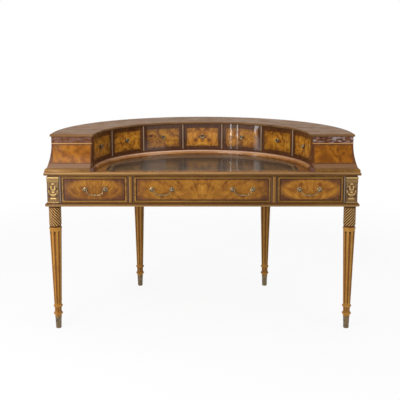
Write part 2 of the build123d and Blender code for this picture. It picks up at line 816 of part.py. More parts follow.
def make_small_front(bay):
    """Curved front of a small drawer, hollow like the inner curve, with a round seat for its knob."""
    reach = small_front_thickness + small_drawer_depth
    z0, z1 = small_front_bottom, small_front_top
    block = bay.block(bay.left + small_gap, bay.right - small_gap, -reach / 2, reach, z0, z1)
    band = well_prism(small_front_thickness, z0, z1) - well_prism(0, z0, z1)
    low = (Align.CENTER, Align.CENTER, Align.MIN)
    cutter = Cylinder(knob_plate_radius + knob_seat_margin, cut_overrun, align=low)
    seat, normal = knob_seat(bay)
    return (block & band) - Plane(origin=seat, z_dir=-normal) * cutter


def make_small_box(bay):
    """Sides, back and bottom of a small drawer, scribed to the back of its curved front."""
    x0, x1 = bay.left + small_gap, bay.right - small_gap
    z0, z1 = small_front_bottom, small_front_top - small_top_drop
    y1 = small_front_thickness + small_drawer_depth
    box = bay.block(x0, x1, 0, y1, z0, z1)
    box -= bay.block(x0 + small_side, x1 - small_side, -y1, y1 - small_side, z0 + small_bottom, z1)
    return box - well_prism(small_front_thickness, z0, z1)


def make_knob(bay):
    """Turned knob with a dished face, at the middle of a small drawer's curved front."""
    rim = knob_plate_thickness + knob_neck
    lip, dish = knob_radius * knob_rim_share, knob_radius * knob_dish_share
    profile = [
        Line((0, 0), (knob_plate_radius, 0)),
        Line((knob_plate_radius, 0), (knob_plate_radius, knob_plate_thickness)),
        Line((knob_plate_radius, knob_plate_thickness), (knob_neck_radius, knob_plate_thickness)),
        Line((knob_neck_radius, knob_plate_thickness), (knob_neck_radius, rim)),
        ThreePointArc(
            (knob_neck_radius, rim),
            (knob_radius, rim + knob_head / 2),
            (lip, rim + knob_head),
        ),
        Line((lip, rim + knob_head), (dish, rim + knob_head / 2)),
        Line((dish, rim + knob_head / 2), (0, rim + knob_head / 2)),
        Line((0, rim + knob_head / 2), (0, 0)),
    ]
    turned = revolve(Plane.XZ * make_face(profile), Axis.Z)
    seat, normal = knob_seat(bay)
    return Plane(origin=seat, z_dir=-normal) * turned


def knob_seat(bay):
    """Middle of the floor of a knob's seat in a drawer's hollow front, and its outward normal."""
    middle = (bay.start + bay.end) * 0.5
    share = math.degrees(math.atan2((middle.Y - well_y) / well_reach, middle.X / well_half_width))
    angle = min(max(share, well_splay_angle), 180 - well_splay_angle)
    on_curve = well_point(angle)
    tangent_point = well_point(angle + 1 / 10)
    normal = Vector(tangent_point.Y - on_curve.Y, on_curve.X - tangent_point.X).normalized()
    seat = on_curve + normal * knob_seat_depth
    return Vector(seat.X, seat.Y, (small_front_bottom + small_front_top) / 2), normal


def make_small_partition(points, bays, k):
    """Divider between two small drawers: a beaded stile with a board along the side of each bay."""
    z0, z1 = floor_top, gallery_underside
    before, after = bays[k - 1], bays[k]
    reach = half_width
    boards = before.block(before.right, before.right + small_board, 0, reach, z0, z1)
    boards += after.block(after.left - small_board, after.left, 0, reach, z0, z1)
    bisector = (before.outward + after.outward).normalized()
    plane = Plane(origin=(points[k].X, points[k].Y, 0), x_dir=(bisector.Y, -bisector.X, 0))
    half = small_stile_width / 2
    stile = plane * span_box(-half, half, -small_stile_depth, small_stile_depth, z0, z1)
    piece = boards + stile - well_prism(0, z0, z1)
    piece = piece & d_prism(wall_inner_inset, z0, z1)
    bead = Cylinder(stile_bead_radius, z1 - z0, align=(Align.CENTER, Align.CENTER, Align.MIN))
    return piece + Pos(points[k].X, points[k].Y, z0) * bead


def make_end_guide(bay):
    """Wedge-shaped guide between the right end panel and its small drawer."""
    z0, z1 = floor_top, gallery_underside
    reach = half_width
    block = bay.block(bay.right, bay.right + reach, -reach, reach, z0, z1)
    region = d_prism(wall_inner_inset, z0, z1, end_panel_back) - well_prism(0, z0, z1)
    return region & block & span_box(0, half_width, front_y, curve_y, z0, z1)


def main():
    os.makedirs("parts", exist_ok=True)
    sides = (("left", -1), ("right", 1))

    def save_pair(name, right):
        save(f"{name}_right", right)
        save(f"{name}_left", mirrored(right))

    def save_both(name, right):
        save(name, Compound(children=[mirrored(right), right]))

    rear, rear_turn = rear_leg_place()
    cap = make_cap()
    caps = []
    for end, x, y, turn in (("front", post_centre_x, post_centre_y, 0), ("rear", rear.X, rear.Y, rear_turn)):
        for side, sign in sides:
            leg = make_leg(sign, sign * turn)
            save(f"{end}_leg_{side}", Pos(sign * x, y, 0) * leg)
            caps.append(Pos(sign * x, y, 0) * cap)
    save("leg_caps", Compound(children=caps))
    save_both("corner_carvings", make_corner_carving())

    save("frieze_apron", make_apron())
    save("lower_moulding", make_lower_moulding())
    save("front_bottom_rail", make_bottom_rail())
    save("front_top_rail", make_top_rail())
    save_both("frieze_stiles", make_frieze_stile())
    save_both("drawer_dividers", make_drawer_divider())
    save_both("frieze_partitions", make_partition())
    save("rear_cross_rail", make_cross_rail())
    save("drawer_runners", make_runners())
    save("desktop", make_desktop())
    save("leather_inset", make_leather())

    posts, bail = make_handle_posts(), make_bail()
    left_span = (-side_opening[1], -side_opening[0])
    drawers = (
        ("left", left_span, side_drawer_depth, (side_handle_offset,)),
        ("centre", centre_opening, centre_drawer_depth, (-centre_handle_offset, centre_handle_offset)),
        ("right", side_opening, side_drawer_depth, (-side_handle_offset,)),
    )
    for name, (x0, x1), depth, offsets in drawers:
        save(f"drawer_front_{name}", make_drawer_front(x0, x1))
        save(f"drawer_box_{name}", make_drawer_box(x0, x1, depth))
        for k, offset in enumerate(offsets):
            tag = name if len(offsets) == 1 else f"{name}_{k + 1}"
            place = Pos((x0 + x1) / 2 + offset, front_face_y, handle_height)
            save(f"handle_posts_{tag}", place * posts)
            save(f"handle_bail_{tag}", place * bail)

    flared = make_flared_body()
    save("gallery_wall", make_gallery_wall(flared))
    save_pair("gallery_end_panel", make_end_panel(flared))
    save("gallery_plinth", make_gallery_plinth())
    save("well_moulding", in_lengths(make_well_moulding(), writing_height, well_moulding_top))
    save("gallery_floor", make_gallery_floor())
    save("gallery_top", make_gallery_top())

    points = divider_points()
    bays = [SmallBay(points, k) for k in range(len(points) - 1)]
    partitions = [make_small_partition(points, bays, k) for k in range(1, len(points) - 1)]
    guide = make_end_guide(bays[-1])
    save("gallery_partitions", Compound(children=[mirrored(guide)] + partitions + [guide]))
    for k, bay in enumerate(bays):
        save(f"small_drawer_front_{k + 1}", make_small_front(bay))
        save(f"small_drawer_box_{k + 1}", make_small_box(bay))
        save(f"small_drawer_knob_{k + 1}", make_knob(bay))


main()
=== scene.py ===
import bmesh
import bpy
from math import atan2, cos, exp, hypot, pi, radians, sin, sqrt
from mathutils import Matrix, Vector


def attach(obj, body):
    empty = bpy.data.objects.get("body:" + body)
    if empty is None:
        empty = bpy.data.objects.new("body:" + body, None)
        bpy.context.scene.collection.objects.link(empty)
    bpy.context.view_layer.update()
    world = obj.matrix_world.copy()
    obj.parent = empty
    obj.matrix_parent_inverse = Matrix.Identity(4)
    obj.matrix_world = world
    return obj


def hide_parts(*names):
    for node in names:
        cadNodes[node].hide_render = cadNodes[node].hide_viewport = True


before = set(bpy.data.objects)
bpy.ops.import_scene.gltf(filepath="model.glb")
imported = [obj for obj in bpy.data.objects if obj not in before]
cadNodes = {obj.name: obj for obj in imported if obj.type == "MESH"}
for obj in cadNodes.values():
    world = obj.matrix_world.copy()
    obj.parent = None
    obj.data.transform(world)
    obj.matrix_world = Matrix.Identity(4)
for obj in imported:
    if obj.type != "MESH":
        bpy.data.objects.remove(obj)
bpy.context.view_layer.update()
# Y of the desktop's straight front edge
deskFront = -0.401


# Small helpers for node trees

def addNode(kind, settings, feed, tree=None):
    # the node joins the tree of the first socket that feeds it, unless a tree is given
    tree = tree or next(value.id_data for value in feed.values() if isinstance(value, bpy.types.NodeSocket))
    made = tree.nodes.new("ShaderNode" + kind)
    for key, value in settings.items():
        setattr(made, key, value)
    for key, value in feed.items():
        plug(made.inputs[key], value)
    return made


def plug(socket, value):
    if isinstance(value, bpy.types.NodeSocket):
        socket.id_data.links.new(value, socket)
    elif socket.type == "RGBA":
        socket.default_value = (*value, 1)
    else:
        socket.default_value = value


def calc(operation, *values, clamp=False):
    settings = {"operation": operation, "use_clamp": clamp}
    return addNode("Math", settings, dict(enumerate(values))).outputs[0]


def times(a, b):
    return calc("MULTIPLY", a, b)


def minus(a, b):
    return calc("SUBTRACT", a, b)


def scaleAdd(a, factor, b, clamp=False):
    return calc("MULTIPLY_ADD", a, factor, b, clamp=clamp)


def vectorCalc(operation, *vectors, scale=None):
    made = addNode("VectorMath", {"operation": operation}, dict(enumerate(vectors)))
    if scale is not None:
        plug(made.inputs["Scale"], scale)
    return made.outputs["Value" if operation in ("LENGTH", "DISTANCE", "DOT_PRODUCT") else "Vector"]


def axes(place):
    return addNode("SeparateXYZ", {}, {0: place}).outputs


def vectorOf(x, y, z):
    return addNode("CombineXYZ", {}, {0: x, 1: y, 2: z}).outputs[0]


def blendColor(mask, a, b, mode="MIX"):
    settings = {"data_type": "RGBA", "blend_type": mode, "clamp_factor": True}
    return addNode("Mix", settings, {0: mask, 6: a, 7: b}).outputs[2]


def tint(color, mask, amount, tone):
    # lays the tone over the color where the mask is 1, as strongly as the amount says
    return blendColor(times(mask, amount), color, tone)


def remap(value, low, high, toLow=0.0, toHigh=1.0, kind="LINEAR"):
    feed = {"Value": value, "From Min": low, "From Max": high, "To Min": toLow, "To Max": toHigh}
    return addNode("MapRange", {"interpolation_type": kind}, feed).outputs[0]


def step(value, low, high):
    return remap(value, low, high, kind="SMOOTHSTEP")


def span(value, low, high, soft):
    # 1 between low and high, fading over soft at both ends
    rise = step(value, low - soft, low + soft)
    fall = step(value, high - soft, high + soft)
    return calc("SUBTRACT", rise, fall, clamp=True)


def noise(place, scale, detail=2.0, roughness=0.5, distortion=0.0, output="Fac"):
    feed = {"Vector": place, "Scale": scale, "Detail": detail, "Roughness": roughness, "Distortion": distortion}
    return addNode("TexNoise", {}, feed).outputs[output]


def colorStops(value, stops):
    made = addNode("ValToRGB", {}, {"Fac": value})
    ramp = made.color_ramp
    while len(ramp.elements) < len(stops):
        ramp.elements.new(0.5)
    for element, (place, color) in zip(ramp.elements, stops):
        element.position = place
        element.color = (*color, 1)
    return made.outputs["Color"]


def makeGroup(name, inputs, outputs):
    # an input with no value of its own is a vector, and every other socket is a number
    tree = bpy.data.node_groups.new(name, "ShaderNodeTree")
    for label, value in inputs.items():
        kind = "NodeSocketVector" if value is None else "NodeSocketFloat"
        socket = tree.interface.new_socket(name=label, in_out="INPUT", socket_type=kind)
        if value is not None:
            socket.default_value = value
    for label in outputs:
        tree.interface.new_socket(name=label, in_out="OUTPUT", socket_type="NodeSocketFloat")
    return tree, tree.nodes.new("NodeGroupInput").outputs, tree.nodes.new("NodeGroupOutput").inputs


def useGroup(group, feed):
    return addNode("Group", {"node_tree": group}, feed).outputs


def startMaterial(name, constants):
    material = bpy.data.materials.new(name)
    material.use_nodes = True
    tree = material.node_tree
    shader = tree.nodes["Principled BSDF"]
    for key, value in constants.items():
        shader.inputs[key].default_value = value
    return material, shader, tree.nodes.new("ShaderNodeTexCoord").outputs["Object"]


def addBump(shader, height, distance, strength=1.0):
    feed = {"Height": height, "Distance": distance, "Strength": strength}
    plug(shader.inputs["Normal"], addNode("Bump", {}, feed).outputs[0])


def mapped(place, offset=(0, 0, 0), turn=(0, 0, 0), size=(1, 1, 1)):
    feed = {"Vector": place, "Location": offset, "Rotation": turn, "Scale": size}
    return addNode("Mapping", {"vector_type": "POINT"}, feed).outputs[0]


# Shared effects: burl figure, straight grain and the unevenness of old varnish

def makeBurlFigure():
    inputs = {"Vector": None, "Scale": 9.0, "Swirl": 0.35, "Knots": 0.6, "Contrast": 1.0}
    tree, source, target = makeGroup("burlFigure", inputs, ("Figure", "Pores"))
    # the place is pushed about by a slow drift, and every part of the figure follows it
    scaled = vectorCalc("SCALE", source["Vector"], scale=source["Scale"])
    drift = vectorCalc("SUBTRACT", noise(scaled, 0.8, output="Color"), (0.5, 0.5, 0.5))
    push = vectorCalc("SCALE", drift, scale=times(source["Swirl"], 6.0))
    bent = vectorCalc("ADD", scaled, push)
    cloud = noise(bent, 1.1, 5.0, 0.55, 0.9)
    bands = {"Vector": bent, "Scale": 0.55, "Distortion": 7.0, "Detail": 3.0, "Detail Scale": 1.6}
    rings = addNode("TexWave", {"wave_type": "BANDS", "bands_direction": "DIAGONAL"}, bands)
    cells = {"Vector": bent, "Scale": 1.5, "Smoothness": 0.4}
    eyes = addNode("TexVoronoi", {"feature": "SMOOTH_F1"}, cells).outputs["Distance"]
    body = scaleAdd(cloud, 1.5, -0.36)
    body = scaleAdd(rings.outputs["Fac"], 0.28, body)
    knots = times(step(eyes, 0.32, 0.05), source["Knots"])
    body = calc("SUBTRACT", body, times(knots, 0.55), clamp=True)
    fine = noise(bent, 16.0, 4.0, 0.7)
    body = calc("ADD", body, scaleAdd(fine, 0.22, -0.11))
    body = scaleAdd(minus(body, 0.55), source["Contrast"], 0.55, clamp=True)
    plug(target["Figure"], body)
    plug(target["Pores"], step(fine, 0.62, 0.42))
    return tree


def makeStraightGrain():
    tree, source, target = makeGroup("straightGrain", {"Vector": None, "Scale": 30.0}, ("Grain", "Pores"))
    # the grain runs along the vector's own X
    squeezed = vectorCalc("MULTIPLY", source["Vector"], (0.07, 1, 1))
    scaled = vectorCalc("SCALE", squeezed, scale=source["Scale"])
    wide = noise(scaled, 1.0, 3.0, 0.6, 0.4)
    fine = noise(scaled, 9.0, 3.0, 0.65)
    mixed = scaleAdd(wide, 1.15, scaleAdd(fine, 0.5, -0.32), clamp=True)
    plug(target["Grain"], mixed)
    plug(target["Pores"], step(fine, 0.44, 0.56))
    return tree


def makeOldVarnish():
    inputs = {"Vector": None, "Smooth": 0.2, "Dull": 0.4}
    tree, source, target = makeGroup("oldVarnish", inputs, ("Roughness", "Patches", "Ripple"))
    patches = noise(source["Vector"], 14.0, 4.0, 0.6)
    specks = noise(source["Vector"], 260.0)
    amount = step(scaleAdd(specks, 0.25, patches), 0.45, 0.85)
    plug(target["Roughness"], remap(amount, 0.0, 1.0, source["Smooth"], source["Dull"]))
    plug(target["Patches"], patches)
    plug(target["Ripple"], noise(source["Vector"], 42.0))
    return tree


burlFigure = makeBurlFigure()
straightGrain = makeStraightGrain()
oldVarnish = makeOldVarnish()
print("shared effects ready")

# Colours of the woods, from dark to light
woodTones = {
    "burl": [(0.0, (0.028, 0.008, 0.003)), (0.2, (0.11, 0.034, 0.006)), (0.4, (0.245, 0.088, 0.01)),
             (0.6, (0.38, 0.15, 0.015)), (0.82, (0.5, 0.225, 0.026)), (1.0, (0.6, 0.32, 0.06))],
    "band": [(0.0, (0.025, 0.009, 0.005)), (0.45, (0.085, 0.028, 0.012)), (1.0, (0.2, 0.075, 0.026))],
    "frame": [(0.0, (0.085, 0.032, 0.008)), (0.5, (0.205, 0.093, 0.018)), (1.0, (0.4, 0.214, 0.05))],
    "top": [(0.0, (0.082, 0.037, 0.014)), (0.5, (0.18, 0.09, 0.036)), (1.0, (0.3, 0.158, 0.07))],
    "lining": [(0.0, (0.16, 0.085, 0.035)), (0.5, (0.33, 0.2, 0.1)), (1.0, (0.46, 0.31, 0.17))],
    "leg": [(0.0, (0.22, 0.09, 0.016)), (0.5, (0.38, 0.178, 0.032)), (1.0, (0.56, 0.305, 0.072))],
    "field": [(0.0, (0.06, 0.019, 0.005)), (0.3, (0.145, 0.048, 0.007)),
              (0.6, (0.265, 0.106, 0.012)), (1.0, (0.44, 0.21, 0.03))],
    "bead": [(0.0, (0.26, 0.17, 0.1)), (0.5, (0.42, 0.3, 0.2)), (1.0, (0.58, 0.45, 0.32))],
    "well": [(0.0, (0.19, 0.064, 0.013)), (0.5, (0.42, 0.175, 0.042)), (1.0, (0.62, 0.32, 0.11))],
    "border": [(0.0, (0.065, 0.028, 0.013)), (0.5, (0.125, 0.06, 0.028)), (1.0, (0.22, 0.12, 0.058))],
}
# the pale line let into the veneer, and the turn that stands the grain on end
stringing = (0.5, 0.27, 0.1)
upright = (0, pi / 2, 0)


def gloss(coat, roughness, specular):
    return {"Coat Weight": coat, "Coat Roughness": roughness, "IOR": 1.45, "Specular IOR Level": specular}


glossyWood = gloss(0.09, 0.1, 0.12)
satinWood = gloss(0.03, 0.2, 0.12)


def grainColor(place, tones, scale, turn=(0, 0, 0)):
    grain = useGroup(straightGrain, {"Vector": mapped(place, turn=turn), "Scale": scale})
    return colorStops(grain["Grain"], woodTones[tones]), grain["Pores"]


def burlParts(place, offset, scale, swirl, knots, contrast):
    feed = {"Vector": mapped(place, offset), "Scale": scale, "Swirl": swirl, "Knots": knots, "Contrast": contrast}
    return useGroup(burlFigure, feed)


def burlColor(place, offset, scale, swirl, knots, contrast, toneAndPaintedLight=(1.0, 1.0, 1.0)):
    parts = burlParts(place, offset, scale, swirl, knots, contrast)
    return blendColor(1.0, colorStops(parts["Figure"], woodTones["burl"]), toneAndPaintedLight, "MULTIPLY"), parts["Pores"]


def varnish(shader, place, pores, smooth, dull):
    old = useGroup(oldVarnish, {"Vector": place, "Smooth": smooth, "Dull": dull})
    plug(shader.inputs["Roughness"], old["Roughness"])
    addBump(shader, scaleAdd(pores, -0.5, old["Ripple"]), 0.00012)
    return old["Patches"]


def varnishedWood(name, finish, smooth, dull, paint, *details):
    material, shader, place = startMaterial(name, finish)
    color, pores = paint(place, *details)
    plug(shader.inputs["Base Color"], color)
    varnish(shader, place, pores, smooth, dull)
    return material


def edgeDistance(across, up, half, low, high):
    # how far a point of a front lies inside the nearest edge of its rectangle
    toEnd = calc("MINIMUM", minus(up, low), minus(high, up))
    return calc("MINIMUM", minus(half, across), toEnd)


# Frieze drawer fronts: a matched, fan-figured oval that darkens towards its corners, in a lighter moulded frame
friezeFrontValues = {
    "low": 0.6243, "high": 0.7472, "frame": 0.0102, "fan": 0.34, "fanDepth": 0.035, "rays": 17.0, "rayBreaks": 13.0,
    "left": {"centre": -0.503, "half": 0.1522, "offset": (3.1, 0.4, 1.7), "scale": 17.0, "oval": 2.2, "toneAndPaintedLight": 1.0},
    "centre": {"centre": 0.0, "half": 0.3182, "offset": (0.6, 2.3, 0.2), "scale": 15.0, "oval": 4.5, "toneAndPaintedLight": 1.08},
    "right": {"centre": 0.503, "half": 0.1522, "offset": (7.4, 1.2, 4.1), "scale": 17.0, "oval": 2.2, "toneAndPaintedLight": 1.3},
}


def friezeFrontPaint(place, side):
    shared, value = friezeFrontValues, friezeFrontValues[side]
    low, high, rim, oval = shared["low"], shared["high"], shared["frame"], value["oval"]
    # the veneer is laid in matched leaves, so the figure mirrors about the middle of the front
    parts = axes(place)
    up = parts["Z"]
    across = calc("ABSOLUTE", minus(parts["X"], value["centre"]))
    folded = vectorOf(across, parts["Y"], up)
    figure = burlParts(folded, value["offset"], value["scale"], 0.3, 0.3, 0.6)
    # rays that fan up from under the middle of the front
    rise = minus(up, low - shared["fanDepth"])
    angle = calc("ARCTAN2", across, rise)
    reach = calc("SQRT", scaleAdd(across, across, times(rise, rise)))
    turned, broken = times(angle, shared["rays"]), times(reach, shared["rayBreaks"])
    fan = noise(vectorOf(turned, broken, value["offset"][0]), 1.0, 4.0, 0.6, 0.5)
    body = minus(figure["Figure"], 1.2 * shared["fan"])
    body = scaleAdd(fan, 2.4 * shared["fan"], body, clamp=True)
    # the burl is scaled by the front's toneAndPaintedLight: partly its own tone, partly painted light, most on the
    # right front
    field = blendColor(1.0, colorStops(body, woodTones["field"]), (value["toneAndPaintedLight"],) * 3, "MULTIPLY")
    # dark along the frame and in the corners outside the oval
    edge = edgeDistance(across, up, value["half"], low, high)
    offMiddle = calc("ABSOLUTE", minus(up, (low + high) / 2))
    shareX = calc("POWER", calc("DIVIDE", across, value["half"] - rim), oval)
    shareZ = calc("POWER", calc("DIVIDE", offMiddle, (high - low) / 2 - rim), oval)
    outward = calc("POWER", calc("ADD", shareX, shareZ), 1 / oval)
    corner = step(scaleAdd(noise(folded, 26.0, 3.0), 0.22, outward), 0.88, 1.22)
    nearEdge = times(step(edge, 0.021, 0.0105), 0.82)
    shade = calc("MAXIMUM", nearEdge, times(corner, 0.93), clamp=True)
    field = blendColor(shade, field, grainColor(place, "band", 40.0, upright)[0])
    onFrame = step(edge, rim + 0.0012, rim - 0.0008)
    color = blendColor(onFrame, field, grainColor(place, "frame", 34.0)[0])
    # painted shade: a dark line where the field meets the frame, and the outer edge of the front darkened for the gap
    # round it
    color = tint(color, span(edge, rim - 0.001, rim + 0.0032, 0.0012), 0.85, (0.018, 0.007, 0.004))
    return tint(color, step(edge, 0.0026, 0.0006), 0.8, (0.022, 0.008, 0.004)), figure["Pores"]


def plainWood(name, tones, scale, smooth, dull, turn=(0, 0, 0), finish=satinWood, stains=0.4):
    material, shader, place = startMaterial(name, finish)
    color, pores = grainColor(place, tones, scale, turn)
    patches = varnish(shader, place, pores, smooth, dull)
    color = tint(color, step(patches, 0.5, 0.72), stains, (0.035, 0.013, 0.006))
    plug(shader.inputs["Base Color"], color)
    return material


# Gallery walls and end panels: dark rail, light line, burl field in a dark border and a paler foot
galleryWallValues = {
    "rail": 0.903, "line": (0.8965, 0.8998), "foot": 0.806, "scale": 14.0, "toneAndPaintedLight": (0.72, 0.62, 0.45),
    "panelCentre": 0.6085, "panelHalf": 0.093, "glintFrom": -0.345, "glintLeft": 0.14, "glintMoreRight": 0.6,
}


def galleryWallPaint(place, offset, centre=None):
    value = galleryWallValues
    foot, rail, (low, high) = value["foot"], value["rail"], value["line"]
    parts = axes(place)
    up = parts["Z"]
    # the burl is scaled by toneAndPaintedLight: partly a deeper tone, partly painted shade that offsets the stronger
    # light on these faces
    color, pores = burlColor(place, offset, value["scale"], 0.4, 0.35, 0.7, value["toneAndPaintedLight"])
    band = grainColor(place, "band", 40.0, upright)[0]
    border = step(up, foot + 0.007, foot + 0.003)
    border = calc("MAXIMUM", border, step(up, low - 0.009, low - 0.005))
    if centre is not None:
        side = calc("ABSOLUTE", minus(parts["X"], centre))
        half = value["panelHalf"]
        border = calc("MAXIMUM", border, step(side, half - 0.008, half - 0.004))
    color = tint(color, border, 0.85, band)
    color = blendColor(span(up, low, high, 0.0006), color, stringing)
    # the foot is paler, partly its own wood and partly painted highlight on its flare
    footColor = blendColor(0.4, grainColor(place, "border", 30.0)[0], (0.3, 0.155, 0.07))
    color = blendColor(step(up, foot + 0.0008, foot - 0.0008), color, footColor)
    # painted highlight: grey glints of reflected light on the front ends of the rail, the right one more
    glintNoise = noise(mapped(place, offset, size=(0.5, 0.5, 1.4)), 75.0, 3.0, 0.6)
    toRight = step(parts["X"], -0.1, 0.1)
    share = scaleAdd(toRight, value["glintMoreRight"], value["glintLeft"])
    paintedHighlight = times(step(parts["Y"], value["glintFrom"], value["glintFrom"] - 0.015), share)
    railColor = tint(band, step(glintNoise, 0.44, 0.6), paintedHighlight, (0.46, 0.37, 0.36))
    return blendColor(step(up, rail - 0.002, rail), color, railColor), pores


# Apron: burl between dark cross-bands, with a light line at each of them
apronValues = {"low": 0.641, "high": 0.735, "line": 0.002, "scale": 13.0}


def apronPaint(place):
    value = apronValues
    low, high, line = value["low"], value["high"], value["line"]
    up = axes(place)["Z"]
    color, pores = burlColor(place, (1.9, 5.2, 0.3), value["scale"], 0.4, 0.35, 0.75)
    edges = calc("MAXIMUM", step(up, low, low - 0.003), step(up, high, high + 0.003))
    color = tint(color, edges, 0.9, grainColor(place, "band", 36.0, upright)[0])
    lines = calc("ADD", span(up, low, low + line, 0.0005), span(up, high - line, high, 0.0005))
    return blendColor(lines, color, stringing), pores


# Small drawer fronts: burl in a dark cross-banded border, each turned to its own bay
bayValues = {
    "wellX": 0.511, "wellY": 0.483, "wellCentre": 0.06, "shares": (0.2016, 0.597, 0.88), "end": (0.5127, 0.072),
    "splay": 6.3, "knobHeight": 0.86425, "knobRise": -0.0006, "fieldFoot": 0.7993, "fieldTop": 0.9212,
    "margin": 0.0075, "band": 0.012, "toneAndPaintedLight": (1.15, 1.4, 1.15, 1.5, 1.2, 1.1, 1.15),
}


def bayPoints():
    v = bayValues
    right = [Vector((v["wellX"] * s, v["wellCentre"] + v["wellY"] * sqrt(1 - s * s), 0)) for s in v["shares"]]
    right.append(Vector((*v["end"], 0)))
    points = [Vector((-p.x, p.y, 0)) for p in reversed(right)] + right
    return [p + Vector((0, deskFront, 0)) for p in points]


def smallFrontPaint(place, k):
    value = bayValues
    start, end = bayPoints()[k:k + 2]
    along = (end - start).normalized()
    middle, half = (start + end) / 2, (end - start).length / 2
    across = vectorCalc("DOT_PRODUCT", vectorCalc("SUBTRACT", place, tuple(middle)), tuple(along))
    up = axes(place)["Z"]
    side = calc("ABSOLUTE", across)
    # painted shadow: the band is measured from fieldTop, below the front's top, so it is wider at the top for the
    # shadow under the gallery top's overhang
    edge = edgeDistance(side, up, half - value["margin"], value["fieldFoot"], value["fieldTop"])
    # the middle front alone is matched about its centre
    flat = vectorOf(side if k == 3 else across, 0.0, up)
    # the burl is brightened by the front's toneAndPaintedLight: partly its own tone, partly painted light that offsets
    # the shade of the gallery top, most on the middle front as painted reflection
    offset, toneAndPaintedLight, band = (k * 1.7, k * 0.9, k * 0.63), (value["toneAndPaintedLight"][k],) * 3, value["band"]
    color, pores = burlColor(flat, offset, 19.0, 0.4, 0.5, 0.9, toneAndPaintedLight)
    onBand = step(edge, band + 0.0005, band - 0.0005)
    color = tint(color, onBand, 0.9, grainColor(place, "band", 40.0, upright)[0])
    color = tint(color, span(edge, band + 0.0002, band + 0.0014, 0.0004), 0.7, (0.03, 0.011, 0.005))
    # painted shade: the field darkens towards its band
    shadeToBand = scaleAdd(step(edge, 0.011, 0.034), -0.38, 0.38)
    return blendColor(shadeToBand, color, (0.045, 0.016, 0.006)), pores


# Desktop: burl border round the leather and a straight-grained nose
desktopValues = {"noseTop": 0.7701, "paintedHighlight": (0.764, 0.769), "underside": 0.7555, "plain": 0.58}


def desktopPaint(place):
    value = desktopValues
    up = axes(place)["Z"]
    burl, pores = burlColor(place, (4.2, 0.7, 2.2), 13.0, 0.4, 0.4, 1.0)
    field = blendColor(value["plain"], burl, grainColor(place, "border", 26.0)[0])
    onNose = step(up, value["noseTop"] + 0.0003, value["noseTop"] - 0.0003)
    color = blendColor(onNose, field, grainColor(place, "frame", 28.0)[0])
    # painted highlight: a pale line along the nose's upper edge, and painted shade on the nose below it
    low, high = value["paintedHighlight"]
    color = tint(color, span(up, low, high, 0.0012), 0.4, (0.42, 0.25, 0.13))
    color = tint(color, step(up, low, low - 0.005), 0.55, (0.085, 0.036, 0.012))
    # painted shade: the underside of the desktop is darkened
    under = step(up, value["underside"] + 0.001, value["underside"] - 0.001)
    return tint(color, under, 0.7, (0.03, 0.012, 0.006)), pores


# Leather with a tooled gold border that follows its outline
leatherValues = {
    "halfWidth": 0.452, "straight": 0.15, "back": 0.509, "frontMargin": 0.04,
    "lines": ((0.013, 0.0009), (0.017, 0.0018), (0.021, 0.0009)), "gold": (0.42, 0.27, 0.085),
    "tones": [(0.25, (0.016, 0.012, 0.008)), (0.5, (0.034, 0.026, 0.016)), (0.8, (0.062, 0.044, 0.027))],
}


def leatherMaterial():
    value = leatherValues
    material, shader, place = startMaterial("writing_leather", gloss(0.6, 0.08, 0.2))
    parts = axes(place)
    back = minus(parts["Y"], deskFront + value["straight"])
    depth = value["back"] - value["straight"]
    shareX = calc("DIVIDE", calc("ABSOLUTE", parts["X"]), value["halfWidth"])
    shareY = calc("DIVIDE", calc("MAXIMUM", back, 0.0), depth)
    squares = calc("ADD", calc("POWER", shareX, 2.0), calc("POWER", shareY, 2.0))
    inside = minus(1.0, calc("SQRT", squares))
    fromCurve = times(inside, (value["halfWidth"] + depth) / 2)
    fromFront = minus(parts["Y"], deskFront + value["frontMargin"])
    edge = calc("MINIMUM", fromCurve, fromFront)
    gold = 0.0
    for centre, half in value["lines"]:
        gold = calc("MAXIMUM", gold, span(edge, centre - half, centre + half, 0.0003))
    gold = times(gold, step(noise(place, 130.0, 3.0), 0.62, 0.4))
    cloud = noise(place, 9.0, 4.0, 0.6)
    color = colorStops(cloud, value["tones"])
    color = tint(color, step(edge, 0.11, 0.0), 0.55, (0.012, 0.012, 0.009))
    color = tint(color, gold, 0.85, value["gold"])
    plug(shader.inputs["Base Color"], color)
    plug(shader.inputs["Roughness"], remap(cloud, 0.3, 0.7, 0.3, 0.46))
    cells = addNode("TexVoronoi", {"feature": "DISTANCE_TO_EDGE"}, {"Vector": place, "Scale": 620.0})
    pebbles = times(step(cells.outputs["Distance"], 0.0, 0.12), 0.5)
    addBump(shader, scaleAdd(gold, -1.2, pebbles), 0.00012, 0.7)
    return material


# Metal, gilding and the woods that are carved or moulded
def shapeShare(color, name):
    # the carved meshes store how hollow and how proud each of their points is
    settings = {"attribute_type": "GEOMETRY", "attribute_name": name}
    return addNode("Attribute", settings, {}, color.id_data).outputs["Fac"]


def hollowShade(color, warm, dark, amount=0.9):
    # hollows are darkened, warm halfway down and nearly black at the bottom: patina and old polish in the brass, and
    # in the legs and carving partly old glaze and dirt, partly painted shade
    depth = shapeShare(color, "hollow")
    color = tint(color, step(depth, 0.0, 0.5), amount, warm)
    return tint(color, step(depth, 0.45, 1.0), amount, dark)


def crestShade(color, bright):
    # edges that stand proud are lightened, partly rubbed bright and partly painted highlight
    return tint(color, shapeShare(color, "crest"), 0.8, bright)


